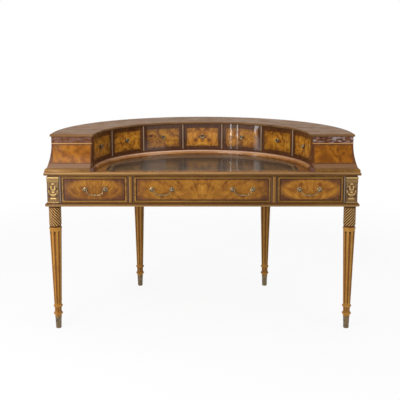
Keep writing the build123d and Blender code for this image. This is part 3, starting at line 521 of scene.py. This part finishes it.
def brassMaterial(name, bright, dark, polish):
    material, shader, place = startMaterial(name, {"IOR": 1.5})
    tarnish = noise(place, 90.0, 5.0, 0.65)
    spots = noise(place, 420.0)
    amount = step(scaleAdd(spots, 0.3, tarnish), 0.45, 0.85)
    color = blendColor(amount, bright, dark)
    color = hollowShade(color, (0.06, 0.038, 0.018), (0.012, 0.008, 0.005))
    plug(shader.inputs["Base Color"], color)
    plug(shader.inputs["Metallic"], remap(amount, 0.0, 1.0, 1.0, 0.6))
    plug(shader.inputs["Roughness"], remap(amount, 0.0, 1.0, polish, polish + 0.22))
    addBump(shader, spots, 0.00006)
    return material


def giltMaterial():
    material, shader, place = startMaterial("gilt_carving", {"IOR": 1.5, "Specular IOR Level": 0.35})
    worn = noise(place, 110.0, 5.0, 0.65)
    glaze = step(worn, 0.44, 0.72)
    depth = shapeShare(place, "hollow")
    color = tint((0.27, 0.162, 0.052), glaze, 0.75, (0.13, 0.068, 0.022))
    color = crestShade(color, (0.6, 0.385, 0.14))
    color = hollowShade(color, (0.12, 0.056, 0.016), (0.02, 0.008, 0.003))
    plug(shader.inputs["Base Color"], color)
    metal = scaleAdd(calc("MAXIMUM", depth, glaze), -0.4, 0.42, clamp=True)
    plug(shader.inputs["Metallic"], metal)
    plug(shader.inputs["Roughness"], scaleAdd(depth, 0.25, 0.36))
    addBump(shader, worn, 0.0002, 0.6)
    return material


# Legs: turned shaft with round-ended flutes, spiral-carved top and the square block behind the frieze
legValues = {
    "segments": 156, "core": 0.012, "flutes": 8, "fluteHalf": 0.18, "fluteDepth": 0.13, "fluteFoot": 0.124,
    "fluteTop": 0.484, "ridges": 13, "ridgeTurn": 172.0, "ridgeDepth": 0.0042, "spiralFoot": 0.51, "spiralTop": 0.598,
    "ridgeFade": 0.003, "lobes": 12, "lobeDepth": 0.0011, "lobeFoot": 0.08, "lobeTop": 0.107, "neckFoot": 0.503,
    "block": 0.054, "blockFoot": 0.606, "blockTop": 0.754, "blockBevel": 0.0008, "rearTurn": 59.64,
}


def legMaterial():
    material, shader, place = startMaterial("leg_walnut", satinWood)
    color, pores = grainColor(place, "leg", 30.0, upright)
    up = axes(place)["Z"]
    patches = varnish(shader, place, pores, 0.3, 0.46)
    color = tint(color, step(patches, 0.5, 0.72), 0.4, (0.16, 0.06, 0.014))
    # painted shade: the spiral is darker than the shaft, between its lighter ridges
    spiralShade = span(up, legValues["spiralFoot"] - 0.001, legValues["spiralTop"] + 0.004, 0.002)
    color = tint(color, spiralShade, 0.9, (0.165, 0.084, 0.024))
    color = crestShade(color, (0.56, 0.345, 0.13))
    color = hollowShade(color, (0.165, 0.058, 0.01), (0.03, 0.01, 0.003), 0.95)
    onBlock = step(up, legValues["blockFoot"] - 0.0005, legValues["blockFoot"] + 0.0005)
    color = blendColor(onBlock, color, (0.11, 0.046, 0.016))
    plug(shader.inputs["Base Color"], color)
    return material


# Beads and mouldings: the heights and places between which each tone comes in
mouldingValues = {
    "bead": (0.0039, 0.0033), "lowerShade": (0.6135, 0.6185), "lowerHighlight": (0.6075, 0.6125),
    "wings": (0.26, 0.5), "wellHighlight": (0.0065, 0.0015), "wellFoot": (0.7775, 0.7735), "wellEnds": (-0.335, -0.345),
}


def partitionPaint(place):
    # dark inner boards with a lighter half-round bead at each drawer stile; the bead's pale tone is partly its own
    # wood and partly painted highlight on its glossy round
    dark, pores = grainColor(place, "band", 36.0, upright)
    flat = vectorCalc("MULTIPLY", place, (1, 1, 0))
    nearest = 1.0
    for point in bayPoints()[1:-1]:
        nearest = calc("MINIMUM", nearest, vectorCalc("DISTANCE", flat, tuple(point)))
    beads = grainColor(place, "bead", 30.0, upright)[0]
    return blendColor(step(nearest, *mouldingValues["bead"]), dark, beads), pores


def lowerMouldingPaint(place):
    # a golden bead with a painted highlight along it, under an upper edge darkened as painted shade
    up = axes(place)["Z"]
    color, pores = grainColor(place, "frame", 28.0)
    color = tint(color, step(up, *mouldingValues["lowerShade"]), 0.75, (0.06, 0.022, 0.008))
    return tint(color, span(up, *mouldingValues["lowerHighlight"], 0.0012), 0.35, (0.5, 0.34, 0.16)), pores


def wellMouldingPaint(place):
    value = mouldingValues
    wellTop = max(corner[2] for corner in cadNodes["well_moulding"].bound_box)
    parts = axes(place)
    color, pores = grainColor(place, "well", 26.0)
    # a painted highlight along the top, strongest in the middle; darker where it runs into the wings and at its foot
    away = step(calc("ABSOLUTE", parts["X"]), *value["wings"])
    topHighlight = step(parts["Z"], *[wellTop - below for below in value["wellHighlight"]])
    color = tint(color, away, 0.4, (0.17, 0.058, 0.013))
    color = tint(color, topHighlight, scaleAdd(away, -0.45, 0.62), (0.8, 0.56, 0.42))
    foot = times(step(parts["Z"], *value["wellFoot"]), 0.7)
    ends = calc("MAXIMUM", step(parts["Y"], *value["wellEnds"]), foot)
    return blendColor(ends, color, grainColor(place, "band", 26.0)[0]), pores


# Uprights: each rounded strip's place from the middle of the desk, its tone and how much of it shows
uprightStrips = ((0.326, 0.343, "leg", 0.62), (0.657, 0.666, "bead", 0.42))


def uprightPaint(place):
    side = calc("ABSOLUTE", axes(place)["X"])
    color, pores = grainColor(place, "border", 28.0, upright)
    for low, high, tones, amount in uprightStrips:
        # painted shade: a dark groove line at both sides of the strip
        grooveShade = span(side, low - 0.0022, high + 0.0022, 0.0008)
        color = tint(color, grooveShade, 0.85, (0.02, 0.008, 0.004))
        strip = span(side, low + 0.0014, high - 0.0014, 0.0008)
        color = tint(color, strip, amount, grainColor(place, tones, 28.0, upright)[0])
    return color, pores


def dress(material, *nodes):
    for node in nodes:
        mesh = cadNodes[node].data
        mesh.materials.clear()
        mesh.materials.append(material)


def dressWood(nodes, *settings):
    dress(varnishedWood(*settings), *nodes)


legs = ("front_leg_left", "front_leg_right", "rear_leg_left", "rear_leg_right")
legWood = legMaterial()
giltWood = giltMaterial()
antiqueBrass = brassMaterial("antique_brass", (0.38, 0.285, 0.16), (0.085, 0.062, 0.034), 0.22)
capBrass = brassMaterial("cap_brass", (0.25, 0.18, 0.1), (0.08, 0.055, 0.032), 0.36)
lining = plainWood("drawer_lining", "lining", 24.0, 0.45, 0.6, stains=0.15)
innerBoards = plainWood("inner_boards", "lining", 22.0, 0.5, 0.65, turn=(0, 0, pi / 2), stains=0.3)
darkWood = plainWood("dark_banding", "band", 36.0, 0.18, 0.36, finish=glossyWood)
mouldingWood = plainWood("moulding_walnut", "frame", 28.0, 0.24, 0.42, finish=glossyWood, stains=0.55)
topWood = plainWood("gallery_top_walnut", "top", 17.0, 0.34, 0.5, finish=gloss(0.0, 0.03, 0.045), stains=0.12)
dress(legWood, *legs)
dress(giltWood, "corner_carvings")
dress(antiqueBrass, *[node for node in cadNodes if node.startswith("handle_") or "knob" in node])
dress(capBrass, "leg_caps")
dress(lining, *[node for node in cadNodes if "drawer_box" in node])
dress(innerBoards, "frieze_partitions", "rear_cross_rail", "drawer_runners")
dress(darkWood, "gallery_floor")
dress(mouldingWood, "front_bottom_rail", "front_top_rail", "gallery_plinth")
dress(topWood, "gallery_top")
dress(leatherMaterial(), "leather_inset")

# each varnished wood: its nodes, name and gloss, its smoothest and dullest roughness, and the function that colours it
for side in ("left", "centre", "right"):
    dressWood([f"drawer_front_{side}"], f"frieze_front_{side}", glossyWood, 0.24, 0.42, friezeFrontPaint, side)
frontGloss = gloss(0.55, 0.05, 0.08)
for k in range(7):
    dressWood([f"small_drawer_front_{k + 1}"], f"small_front_{k + 1}", frontGloss, 0.1, 0.22, smallFrontPaint, k)
panel = galleryWallValues["panelCentre"]
for part, offset, *centre in (("gallery_wall", (2.0, 1.0, 0.5)), ("gallery_end_panel_left", (1.3, 0.2, 3.3), -panel),
                              ("gallery_end_panel_right", (5.1, 2.2, 0.9), panel)):
    name = part.replace("gallery_end", "end") + "_veneer"
    dressWood([part], name, gloss(0.05, 0.1, 0.07), 0.16, 0.3, galleryWallPaint, offset, *centre)
dressWood(["frieze_apron"], "apron_veneer", glossyWood, 0.18, 0.34, apronPaint)
dressWood(["desktop"], "desktop_veneer", glossyWood, 0.2, 0.38, desktopPaint)
dressWood(["gallery_partitions"], "partition_walnut", glossyWood, 0.2, 0.36, partitionPaint)
dressWood(["lower_moulding"], "lower_moulding_walnut", glossyWood, 0.22, 0.4, lowerMouldingPaint)
dressWood(["well_moulding"], "well_moulding_walnut", gloss(0.5, 0.12, 0.2), 0.14, 0.3, wellMouldingPaint)
dressWood(["frieze_stiles", "drawer_dividers"], "upright_walnut", glossyWood, 0.22, 0.4, uprightPaint)
print("materials on the CAD nodes")


# Turned and carved pieces

def addObject(name, data):
    made = bpy.data.objects.new(name, data)
    bpy.context.collection.objects.link(made)
    return made


def addPiece(bm, name, body, node, material, sharp=35.0):
    bmesh.ops.remove_doubles(bm, verts=bm.verts[:], dist=1e-6)
    bmesh.ops.recalc_face_normals(bm, faces=bm.faces[:])
    for face in bm.faces:
        face.smooth = True
    for edge in bm.edges:
        edge.smooth = edge.calc_face_angle(0.0) < radians(sharp)
    mesh = bpy.data.meshes.new(name)
    bm.to_mesh(mesh)
    bm.free()
    mesh.materials.append(material)
    piece = addObject(name, mesh)
    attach(piece, body)
    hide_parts(node)


def moveVerts(bm, verts, vec):
    bmesh.ops.translate(bm, vec=vec, verts=verts)


def turnVerts(bm, verts, angle, axis):
    bmesh.ops.rotate(bm, cent=(0, 0, 0), matrix=Matrix.Rotation(angle, 3, axis), verts=verts)


def edgesAmong(bm, verts):
    return [edge for edge in bm.edges if edge.verts[0] in verts and edge.verts[1] in verts]


def limited(value):
    return min(1.0, max(0.0, value))


def turnedOutline(start, *moves):
    # in mm: the first radius and height, then each move's next ones and the bulge of its curve, with its rows
    points = [(start[0] / 1000, start[1] / 1000)]
    for radius, height, bulge, rows in moves:
        radius, height, bulge = radius / 1000, height / 1000, bulge / 1000
        oldRadius, oldHeight = points[-1]
        for k in range(1, rows + 1):
            part = k / rows
            belly = bulge * sin(pi * part)
            if bulge:
                part = (1 - cos(pi * part)) / 2
            points.append((oldRadius + (radius - oldRadius) * part + belly, oldHeight + (height - oldHeight) * part))
    return points


def spinOutline(bm, outline, segments):
    rim = [bm.verts.new((radius, 0, height)) for radius, height in turnedOutline(*outline)]
    edges = [bm.edges.new(pair) for pair in zip(rim[:-1], rim[1:])]
    old = set(bm.verts) - set(rim)
    spun = {"axis": (0, 0, 1), "cent": (0, 0, 0), "steps": segments, "angle": 2 * pi, "use_merge": True}
    bmesh.ops.spin(bm, geom=rim + edges, **spun)
    fresh = [vert for vert in bm.verts if vert not in old]
    bmesh.ops.remove_doubles(bm, verts=fresh, dist=1e-6)
    return [vert for vert in bm.verts if vert not in old]


def nodeMiddle(node):
    corners = [Vector(c) for c in cadNodes[node].bound_box]
    return sum(corners, Vector()) / 8


# The leg's outline, from the pin in the cap up to the block
legOutline = [
    (0, 3), (11.6, 3, 0, 1), (13.4, 61, 0, 1), (15.8, 61, 0, 1), (16.5, 69, -0.6, 4),
    (18.5, 79, 4.2, 10), (18.5, 108, -2.2, 14), (17.2, 118, 4, 10), (18.1, 136, 0, 12),
    (27.1, 468, 0, 22), (28.2, 491, 0, 14), (28.2, 503, 1.6, 8), (26, 503, 0, 2),
    (26, 510, 0, 2), (29, 512, 0, 2), (29, 598, 0, 58), (26.8, 599, 0, 2),
    (26.8, 606, 0, 2), (0, 606, 0, 2),
]


def fluteShare(angle, radius, height):
    value = legValues
    half = radius * value["fluteHalf"]
    place = angle * value["flutes"] / (2 * pi)
    across = (place - round(place)) * 2 * pi / value["flutes"] * radius
    past = max(0.0, value["fluteFoot"] + half - height, height - (value["fluteTop"] - half))
    reach = hypot(across, past) / half
    return sqrt(1 - reach * reach) if reach < 1 else 0.0


def ridgeWave(angle, height, hand):
    # 1 along a ridge of the spiral and 0 in the groove between two, and how far it has faded at the spiral's ends
    value = legValues
    low, high = value["spiralFoot"], value["spiralTop"]
    if not low < height < high:
        return 1.0, 0.0
    turn = hand * radians(value["ridgeTurn"]) * (height - low) / (high - low)
    fade = min(1.0, (height - low) / value["ridgeFade"], (high - height) / value["ridgeFade"])
    return abs(cos(value["ridges"] * (angle - turn) / 2)), fade


def makeLeg(node, hand, turn):
    value = legValues
    bm = bmesh.new()
    hollow, crest = [bm.verts.layers.float.new(name) for name in ("hollow", "crest")]
    for vert in spinOutline(bm, legOutline, value["segments"]):
        radius, angle, height = hypot(vert.co.x, vert.co.y), atan2(vert.co.y, vert.co.x), vert.co.z
        if radius < value["core"]:
            continue
        flute, (wave, fade) = fluteShare(angle, radius, height), ridgeWave(angle, height, hand)
        cut = flute * radius * value["fluteDepth"] + (1 - wave ** 0.8) * fade * value["ridgeDepth"]
        lobe = 0.0
        if value["lobeFoot"] < height < value["lobeTop"]:
            lobe = 1 - abs(cos(value["lobes"] * angle / 2))
            cut += lobe * value["lobeDepth"]
        # the hollow share darkens the flutes, most under their arched tops, the spiral's grooves, the lobes and the
        # neck rings, partly as old glaze and partly as painted shade; the crest share lightens the spiral's ridges,
        # partly as rubbing and partly as painted highlight
        groove = limited((0.76 - wave) / 0.26) * fade
        archShade = limited((height - value["fluteTop"] + 0.016) / 0.01)
        onNeck = value["neckFoot"] < height < value["spiralFoot"] or height > value["spiralTop"] + 0.0005
        ring = 0.75 if onNeck else 0.0
        vert[hollow] = max(min(1.0, 2 * flute) * (0.5 + 0.4 * archShade), 0.95 * groove, 0.8 * lobe, ring)
        vert[crest] = limited((wave - 0.8) / 0.12) * fade
        vert.co.x *= 1 - cut / radius
        vert.co.y *= 1 - cut / radius
    block = bmesh.ops.create_cube(bm, size=1.0)["verts"]
    size, low, high = value["block"], value["blockFoot"], value["blockTop"]
    bmesh.ops.scale(bm, vec=(size, size, high - low), verts=block)
    moveVerts(bm, block, (0, 0, (high + low) / 2))
    turnVerts(bm, block, radians(turn), "Z")
    bevel = {"offset": value["blockBevel"], "offset_type": "OFFSET", "affect": "EDGES", "segments": 2}
    bmesh.ops.bevel(bm, geom=edgesAmong(bm, block), profile=0.5, material=-1, **bevel)
    middle = nodeMiddle(node)
    moveVerts(bm, bm.verts[:], (middle.x, middle.y, 0))
    addPiece(bm, node + "_carved", "desk", node, legWood)


# Brass caps round the feet, from the middle of the sole up and back down inside
capOutline = [
    (0, 0), (11.5, 0, 0, 2), (13, 2, 0.6, 4), (14.6, 50, 0, 6), (15, 52, 0.4, 4),
    (14.8, 56.5, -0.3, 4), (15.7, 57.5, 0.3, 3), (15.7, 60, 0.4, 4), (14.8, 61, 0, 2),
    (13.4, 61, 0, 1), (11.6, 3, 0, 2), (0, 3, 0, 1),
]


def makeCaps():
    bm = bmesh.new()
    for node in legs:
        middle = nodeMiddle(node)
        moveVerts(bm, spinOutline(bm, capOutline, 48), (middle.x, middle.y, 0))
    addPiece(bm, "foot_caps", "desk", "leg_caps", capBrass)


# Carved consoles on the corner posts, drawn as heights over the unfolded front and outer faces, in mm
carvingValues = {
    "columns": 124, "rows": 132, "width": 54, "foot": 622.0, "plinthTop": 628, "neckFoot": 717, "blockFoot": 737,
    "top": 747.5, "bury": -0.7, "ground": 1.45, "stalks": (684, 707), "coil": (15.5, 700.5), "ribs": (668, 690),
    "crescent": (681, 20.5), "straps": 651.5, "pedestalTop": 648,
}
# place across, height, half width, half height and rise of each rounded boss
carvingBosses = {
    "eye": (15.5, 688, 5.5, 6.5, 1.3), "lowerEye": (17, 654, 8, 6, 0.9), "bud": (0, 712.5, 10, 5.2, 4.7),
    "curledLeaf": (19, 712, 6, 3.6, 3.0), "heart": (0, 672.5, 8.5, 5.5, 4.4), "outerLeaf": (19.5, 677, 4.6, 9.5, 4.2),
}


def swell(du, dz, a, b, height):
    # a rounded boss, nothing outside its ellipse
    reach = hypot(du / a, dz / b)
    return height * sqrt(1 - reach * reach) if reach < 1 else 0.0


def boss(name, side, z):
    across, height, a, b, rise = carvingBosses[name]
    return swell(side - across, z - height, a, b, rise)


def carvedHeight(u, z):
    value = carvingValues
    side = abs(u)
    if z > value["blockFoot"]:
        return 2.3 + 1.6 * sin(pi * (z - value["blockFoot"]) / (value["top"] - value["blockFoot"]))
    if z > value["neckFoot"]:
        rise = (z - value["neckFoot"]) / (value["blockFoot"] - value["neckFoot"])
        return 2.0 + 0.7 * sin(pi * rise) + 0.25 * cos(u * 0.85)
    if z < value["plinthTop"]:
        return 3.3 - 0.4 * (z - value["foot"]) / (value["plinthTop"] - value["foot"])
    high = value["ground"] + 0.4 * cos(u * 1.2) * cos(z * 0.5)
    # deep eyes of ground between the stalks and the outer leaves, and under the crescent
    high -= boss("eye", side, z) + boss("lowerEye", side, z)
    # bud under the block, with a leaf curling out at each side of it
    high = max(high, boss("bud", side, z), boss("curledLeaf", side, z))
    # two stalks with a dark slit between them, each under its own coil
    low, top = value["stalks"]
    if low < z < top:
        lean = 7.2 + 1.6 * sin(pi * (z - low) / (top - low))
        high = max(high, swell(side - lean, 0, 4.2, 1, 4.2) * min(1.0, (top - z) / 3))
    du, dz = side - value["coil"][0], z - value["coil"][1]
    coil = hypot(du, dz)
    if coil < 6.5:
        wave = cos(2 * pi * coil / 4.2 - atan2(dz, du))
        high = max(high, 2.4 + 1.3 * wave * min(1.0, (6.5 - coil) / 1.5))
    # ribbed heart of the leaf
    low, top = value["ribs"]
    if low < z < top:
        wide = 8.0 + 3.0 * sin(pi * (z - low) / (top - low))
        high = max(high, swell(u, 0, wide, 1, 3.6) + 0.5 * cos(u * 1.6) - 0.4)
    high = max(high, boss("heart", side, z))
    # outer leaves, veined
    du, dz = side - carvingBosses["outerLeaf"][0], z - carvingBosses["outerLeaf"][1]
    high = max(high, boss("outerLeaf", side, z) + 0.4 * cos(du * 1.8 + dz * 0.7) - 0.3)
    # crescent, crossed straps, leafy pedestal
    centre, radius = value["crescent"]
    if side < 17.5 and z < 672:
        high = max(high, swell(hypot(u, z - centre) - radius, 0, 3.9, 1, 4.7) * min(1.0, (17.5 - side) / 2))
    above = z - value["straps"]
    if abs(above) < 7:
        high = max(high, *[swell((u - sign * above * 1.7) / 2.0, 0, 2.4, 1, 2.7) for sign in (-1, 1)])
    top = value["pedestalTop"]
    wide = 13.0 + (top - z) * 0.45
    if z < top and side < wide:
        curl = 2.6 + 1.9 * exp(-((z - 643.0) / 3.6) ** 2)
        veins = 0.8 * abs(sin(pi * u / 9.0)) * min(1.0, (646 - z) / 8)
        high = max(high, curl * min(1.0, (top + 0.5 - z) / 2, (wide - side) / 2) - veins)
    return high


def makeCarvings():
    value = carvingValues
    width, half = value["width"], value["width"] / 2
    bm = bmesh.new()
    hollow, crest = [bm.verts.layers.float.new(name) for name in ("hollow", "crest")]
    for leg, sign in (("front_leg_left", -1), ("front_leg_right", 1)):
        middle = nodeMiddle(leg)
        old = set(bm.verts)
        bmesh.ops.create_grid(bm, x_segments=value["columns"], y_segments=value["rows"], size=0.5)
        for vert in [vert for vert in bm.verts if vert not in old]:
            rim = max(abs(vert.co.x), abs(vert.co.y)) > 0.4999
            along = (vert.co.x + 0.5) * 2 * width - width
            z = value["foot"] + (vert.co.y + 0.5) * (value["top"] - value["foot"])
            high = carvedHeight(along + half if along < 0 else along - half, z)
            # the hollow share darkens the low ground, partly as old glaze and partly as painted shade; the crest share
            # lightens the highest relief, partly as rubbing and partly as painted highlight
            vert[hollow] = limited(1 - high / 3.1)
            vert[crest] = limited(high - 3.0)
            out = half + (value["bury"] if rim else high)
            if abs(along) < 0.2:
                x, y = out, -out
            elif along < 0:
                x, y = along + half, -out
            else:
                x, y = out, along - half
            vert.co = Vector((middle.x + sign * x / 1000, middle.y + y / 1000, z / 1000))
    addPiece(bm, "corner_consoles", "desk", "corner_carvings", giltWood, 60.0)


# Bail handles: turned rosettes with posts, and swan-neck bails with a turned drop in the middle
handleValues = {
    "spacing": 0.094, "reach": 0.012, "faceY": -0.385, "height": 0.686, "bailRadius": 0.0021,
    "drop": 0.024, "knee": 0.0392, "knuckle": 0.0027, "pinRadius": 0.0017, "pinLength": 0.0076, "swelling": 0.25,
    "arcs": ((0.014783, 0, 69.03, 18), (0.009916, 0.0127, 36.09, 10)),
}
handlePlaces = {
    "left": (-0.499, "drawer_left"), "centre_1": (-0.188, "drawer_centre"), "centre_2": (0.188, "drawer_centre"),
    "right": (0.499, "drawer_right"),
}
rosetteOutline = [
    (11, 0), (11, 0.9, 0.3, 3), (9.4, 2.2, 0.4, 4), (8.4, 1.2, -0.2, 3), (6, 2, 0.6, 4),
    (4, 1.6, 0, 1), (3.2, 4, -0.4, 4), (3.2, 7, 0, 2), (0, 17.2, 4.6, 12),
]
dropOutline = [
    (0, -9), (2.4, -8.2, 0.4, 3), (2.4, -7.6, 0, 1), (3, -4.4, 0.9, 6), (2.2, -4, 0, 1),
    (2.2, 4, 2.1, 12), (3, 4.4, 0, 1), (2.4, 7.6, 0.9, 6), (2.4, 8.2, 0, 1),
    (0, 9, 0.4, 3),
]


def makeRosettes(tag):
    value = handleValues
    middle, drawer = handlePlaces[tag]
    bm = bmesh.new()
    for side in (-1, 1):
        verts = spinOutline(bm, rosetteOutline, 36)
        turnVerts(bm, verts, pi / 2, "X")
        moveVerts(bm, verts, (middle + side * value["spacing"] / 2, value["faceY"], value["height"]))
    addPiece(bm, f"rosettes_{tag}", drawer, f"handle_posts_{tag}", antiqueBrass)


def makeBailArm(bm, side):
    # two arcs that meet with one tangent, with a knuckle and the pin in the post at the upper end
    value = handleValues
    knee = (value["knee"], 0, 0)
    ring = bmesh.ops.create_circle(bm, segments=14, radius=value["bailRadius"])["verts"]
    moveVerts(bm, ring, knee)
    geom = ring + edgesAmong(bm, ring)
    old = set(bm.verts) - set(ring)
    for x, z, angle, steps in value["arcs"]:
        arc = {"axis": (0, 1, 0), "cent": (x, 0, z), "steps": steps, "angle": radians(angle)}
        geom = bmesh.ops.spin(bm, geom=geom, **arc)["geom_last"]
    arm = [vert for vert in bm.verts if vert not in old]
    for vert in arm:
        # the arm swells a little at the middle of its sweep
        vert.co.y *= 1 + value["swelling"] * sin(pi * limited(-vert.co.z / value["drop"]))
    knuckle = bmesh.ops.create_uvsphere(bm, u_segments=16, v_segments=10, radius=value["knuckle"])["verts"]
    moveVerts(bm, knuckle, knee)
    rod = {"cap_ends": True, "segments": 14, "radius1": value["pinRadius"], "radius2": value["pinRadius"]}
    pin = bmesh.ops.create_cone(bm, depth=value["pinLength"], **rod)["verts"]
    turnVerts(bm, pin, pi / 2, "Y")
    moveVerts(bm, pin, (value["knee"] + value["pinLength"] / 2, 0, 0))
    bmesh.ops.scale(bm, vec=(side, 1, 1), verts=arm + knuckle + pin)


def makeBail(tag):
    value = handleValues
    bm = bmesh.new()
    for side in (-1, 1):
        makeBailArm(bm, side)
    drop = spinOutline(bm, dropOutline, 20)
    turnVerts(bm, drop, pi / 2, "Y")
    moveVerts(bm, drop, (0, 0, -value["drop"]))
    moveVerts(bm, bm.verts[:], (handlePlaces[tag][0], value["faceY"] - value["reach"], value["height"]))
    addPiece(bm, f"bail_{tag}_swan", f"bail_{tag}", f"handle_bail_{tag}", antiqueBrass)


# Knobs of the small drawers, dished on the face and seated in the curved fronts
knobOutline = [
    (7.5, 0), (7.5, 1, 0.2, 3), (6, 1.6, 0, 1), (3.6, 2.2, -0.4, 4), (3.6, 6, 0, 2),
    (9.2, 7.2, 0, 4), (10.2, 9.6, 0.3, 5), (8.8, 12.6, 1, 6), (7, 11.8, -0.2, 4),
    (5, 9.7, -0.4, 4), (3.2, 9.6, 0, 2), (0, 10.8, 0.6, 5),
]


def knobSeat(k):
    v = bayValues
    start, end = bayPoints()[k:k + 2]
    middle = (start + end) / 2
    wellY = deskFront + v["wellCentre"]
    splay = radians(v["splay"])
    angle = atan2((middle.y - wellY) / v["wellY"], middle.x / v["wellX"])
    angle = min(max(angle, splay), pi - splay)
    seat = Vector((v["wellX"] * cos(angle), wellY + v["wellY"] * sin(angle), v["knobHeight"]))
    outward = Vector((cos(angle) / v["wellX"], sin(angle) / v["wellY"], 0)).normalized()
    return seat - outward * v["knobRise"], outward


def knobHollow(radius, height):
    # old polish lies in the dish of the face and round the stem
    if height > 0.009 and 0.0026 < radius < 0.006:
        return 0.62
    return 0.7 if radius < 0.0045 and height < 0.0065 else 0.0


def makeKnob(k):
    bm = bmesh.new()
    hollow = bm.verts.layers.float.new("hollow")
    verts = spinOutline(bm, knobOutline, 40)
    for vert in verts:
        vert[hollow] = knobHollow(hypot(vert.co.x, vert.co.y), vert.co.z)
    seat, outward = knobSeat(k)
    bmesh.ops.rotate(bm, cent=(0, 0, 0), matrix=(-outward).to_track_quat("Z", "Y").to_matrix(), verts=verts)
    moveVerts(bm, verts, seat)
    addPiece(bm, f"dished_knob_{k + 1}", f"small_drawer_{k + 1}", f"small_drawer_knob_{k + 1}", antiqueBrass)


for leg in legs:
    hand = -1 if "left" in leg else 1
    makeLeg(leg, hand, hand * legValues["rearTurn"] if "rear" in leg else 0.0)
makeCaps()
makeCarvings()
for tag in handlePlaces:
    makeRosettes(tag)
    makeBail(tag)
for k in range(7):
    makeKnob(k)
print("turned and carved pieces ready")


# Floor, light and camera
studioValues = {"floorZ": -0.0005, "floorColor": (0.82, 0.82, 0.82, 1), "world": 0.37, "backdrop": 1.0}
# place, target, width, height and energy of each lamp
lampValues = {
    "keyLamp": ((-1.6, -2.6, 2.7), (0, 0, 0.6), 1.6, 1.6, 60.0),
    "fillLamp": ((2.4, -2.0, 1.9), (0, 0, 0.6), 1.4, 1.4, 24.0),
    "sideLamp": ((-1.95, -1.22, 0.76), (0.28, 0.06, 0.76), 0.24, 1.3, 11.0),
    "stripLampLeft": ((-1.14, -1.62, 0.74), (0.18, 0.11, 0.74), 0.025, 1.2, 2.4),
    "stripLampRight": ((-0.95, -1.76, 0.74), (0.15, 0.12, 0.74), 0.035, 1.2, 3.36),
    "topLamp": ((0, 0.4, 3.2), (0, 0, 0.7), 2.2, 2.2, 27.0),
}


def seenAsBackdrop(tree):
    path = tree.nodes.new("ShaderNodeLightPath").outputs
    seen = calc("MAXIMUM", path["Is Camera Ray"], path["Is Glossy Ray"])
    return calc("MAXIMUM", seen, path["Is Transmission Ray"])


def mixToSurface(part, under, over, output):
    mix = addNode("MixShader", {}, {0: part, 1: under.outputs[0], 2: over.outputs[0]})
    plug(part.id_data.nodes[output].inputs["Surface"], mix.outputs[0])


def makeFloor():
    bm = bmesh.new()
    bmesh.ops.create_grid(bm, x_segments=2, y_segments=2, size=12.0)
    moveVerts(bm, bm.verts[:], (0, 0, studioValues["floorZ"]))
    mesh = bpy.data.meshes.new("studioFloor")
    bm.to_mesh(mesh)
    bm.free()
    floor = addObject("studioFloor", mesh)
    paint = {"Base Color": studioValues["floorColor"], "Roughness": 0.9, "Specular IOR Level": 0.0}
    material, shader, place = startMaterial("studio_floor", paint)
    # seen straight or in a reflection the floor is white, and a part of its own shading near the desk keeps the shadow
    away = vectorCalc("LENGTH", place)
    whole = scaleAdd(step(away, 1.3, 3.0), 0.1, 0.9)
    white = {"Color": (1, 1, 1), "Strength": studioValues["backdrop"]}
    glow = addNode("Emission", {}, white, place.id_data)
    part = times(seenAsBackdrop(place.id_data), whole)
    mixToSurface(part, shader, glow, "Material Output")
    mesh.materials.append(material)


def makeWorld():
    world = bpy.data.worlds.new("studioWorld")
    bpy.context.scene.world = world
    world.use_nodes = True
    tree = world.node_tree
    back = tree.nodes["Background"]
    back.inputs["Color"].default_value = (0.93, 0.95, 1.0, 1)
    back.inputs["Strength"].default_value = studioValues["world"]
    white = addNode("Background", {}, {"Color": (1, 1, 1), "Strength": 1.0}, tree)
    mixToSurface(seenAsBackdrop(tree), back, white, "World Output")


def addLamp(name, place, target, width, height, energy):
    lamp = bpy.data.lights.new(name, "AREA")
    lamp.shape = "RECTANGLE"
    lamp.size = width
    lamp.size_y = height
    lamp.energy = energy
    thing = addObject(name, lamp)
    thing.location = place
    thing.rotation_euler = (Vector(target) - Vector(place)).to_track_quat("-Z", "Y").to_euler()


cameraValues = {"distance": 3.356, "height": 1.406, "down": 0.163, "lens": 66.6, "shiftX": -0.0059, "shiftY": -0.1138}


def makeCamera():
    value = cameraValues
    lens = bpy.data.cameras.new("photoCamera")
    lens.sensor_width = 36.0
    lens.lens = value["lens"]
    lens.shift_x = value["shiftX"]
    lens.shift_y = value["shiftY"]
    camera = addObject("photoCamera", lens)
    camera.location = (0, deskFront - value["distance"], value["height"])
    camera.rotation_euler = (pi / 2 - value["down"], 0, 0)
    bpy.context.scene.camera = camera


makeFloor()
makeWorld()
for name, settings in lampValues.items():
    addLamp(name, *settings)
makeCamera()
bpy.context.scene.view_settings.view_transform = "Standard"
print("stage ready")
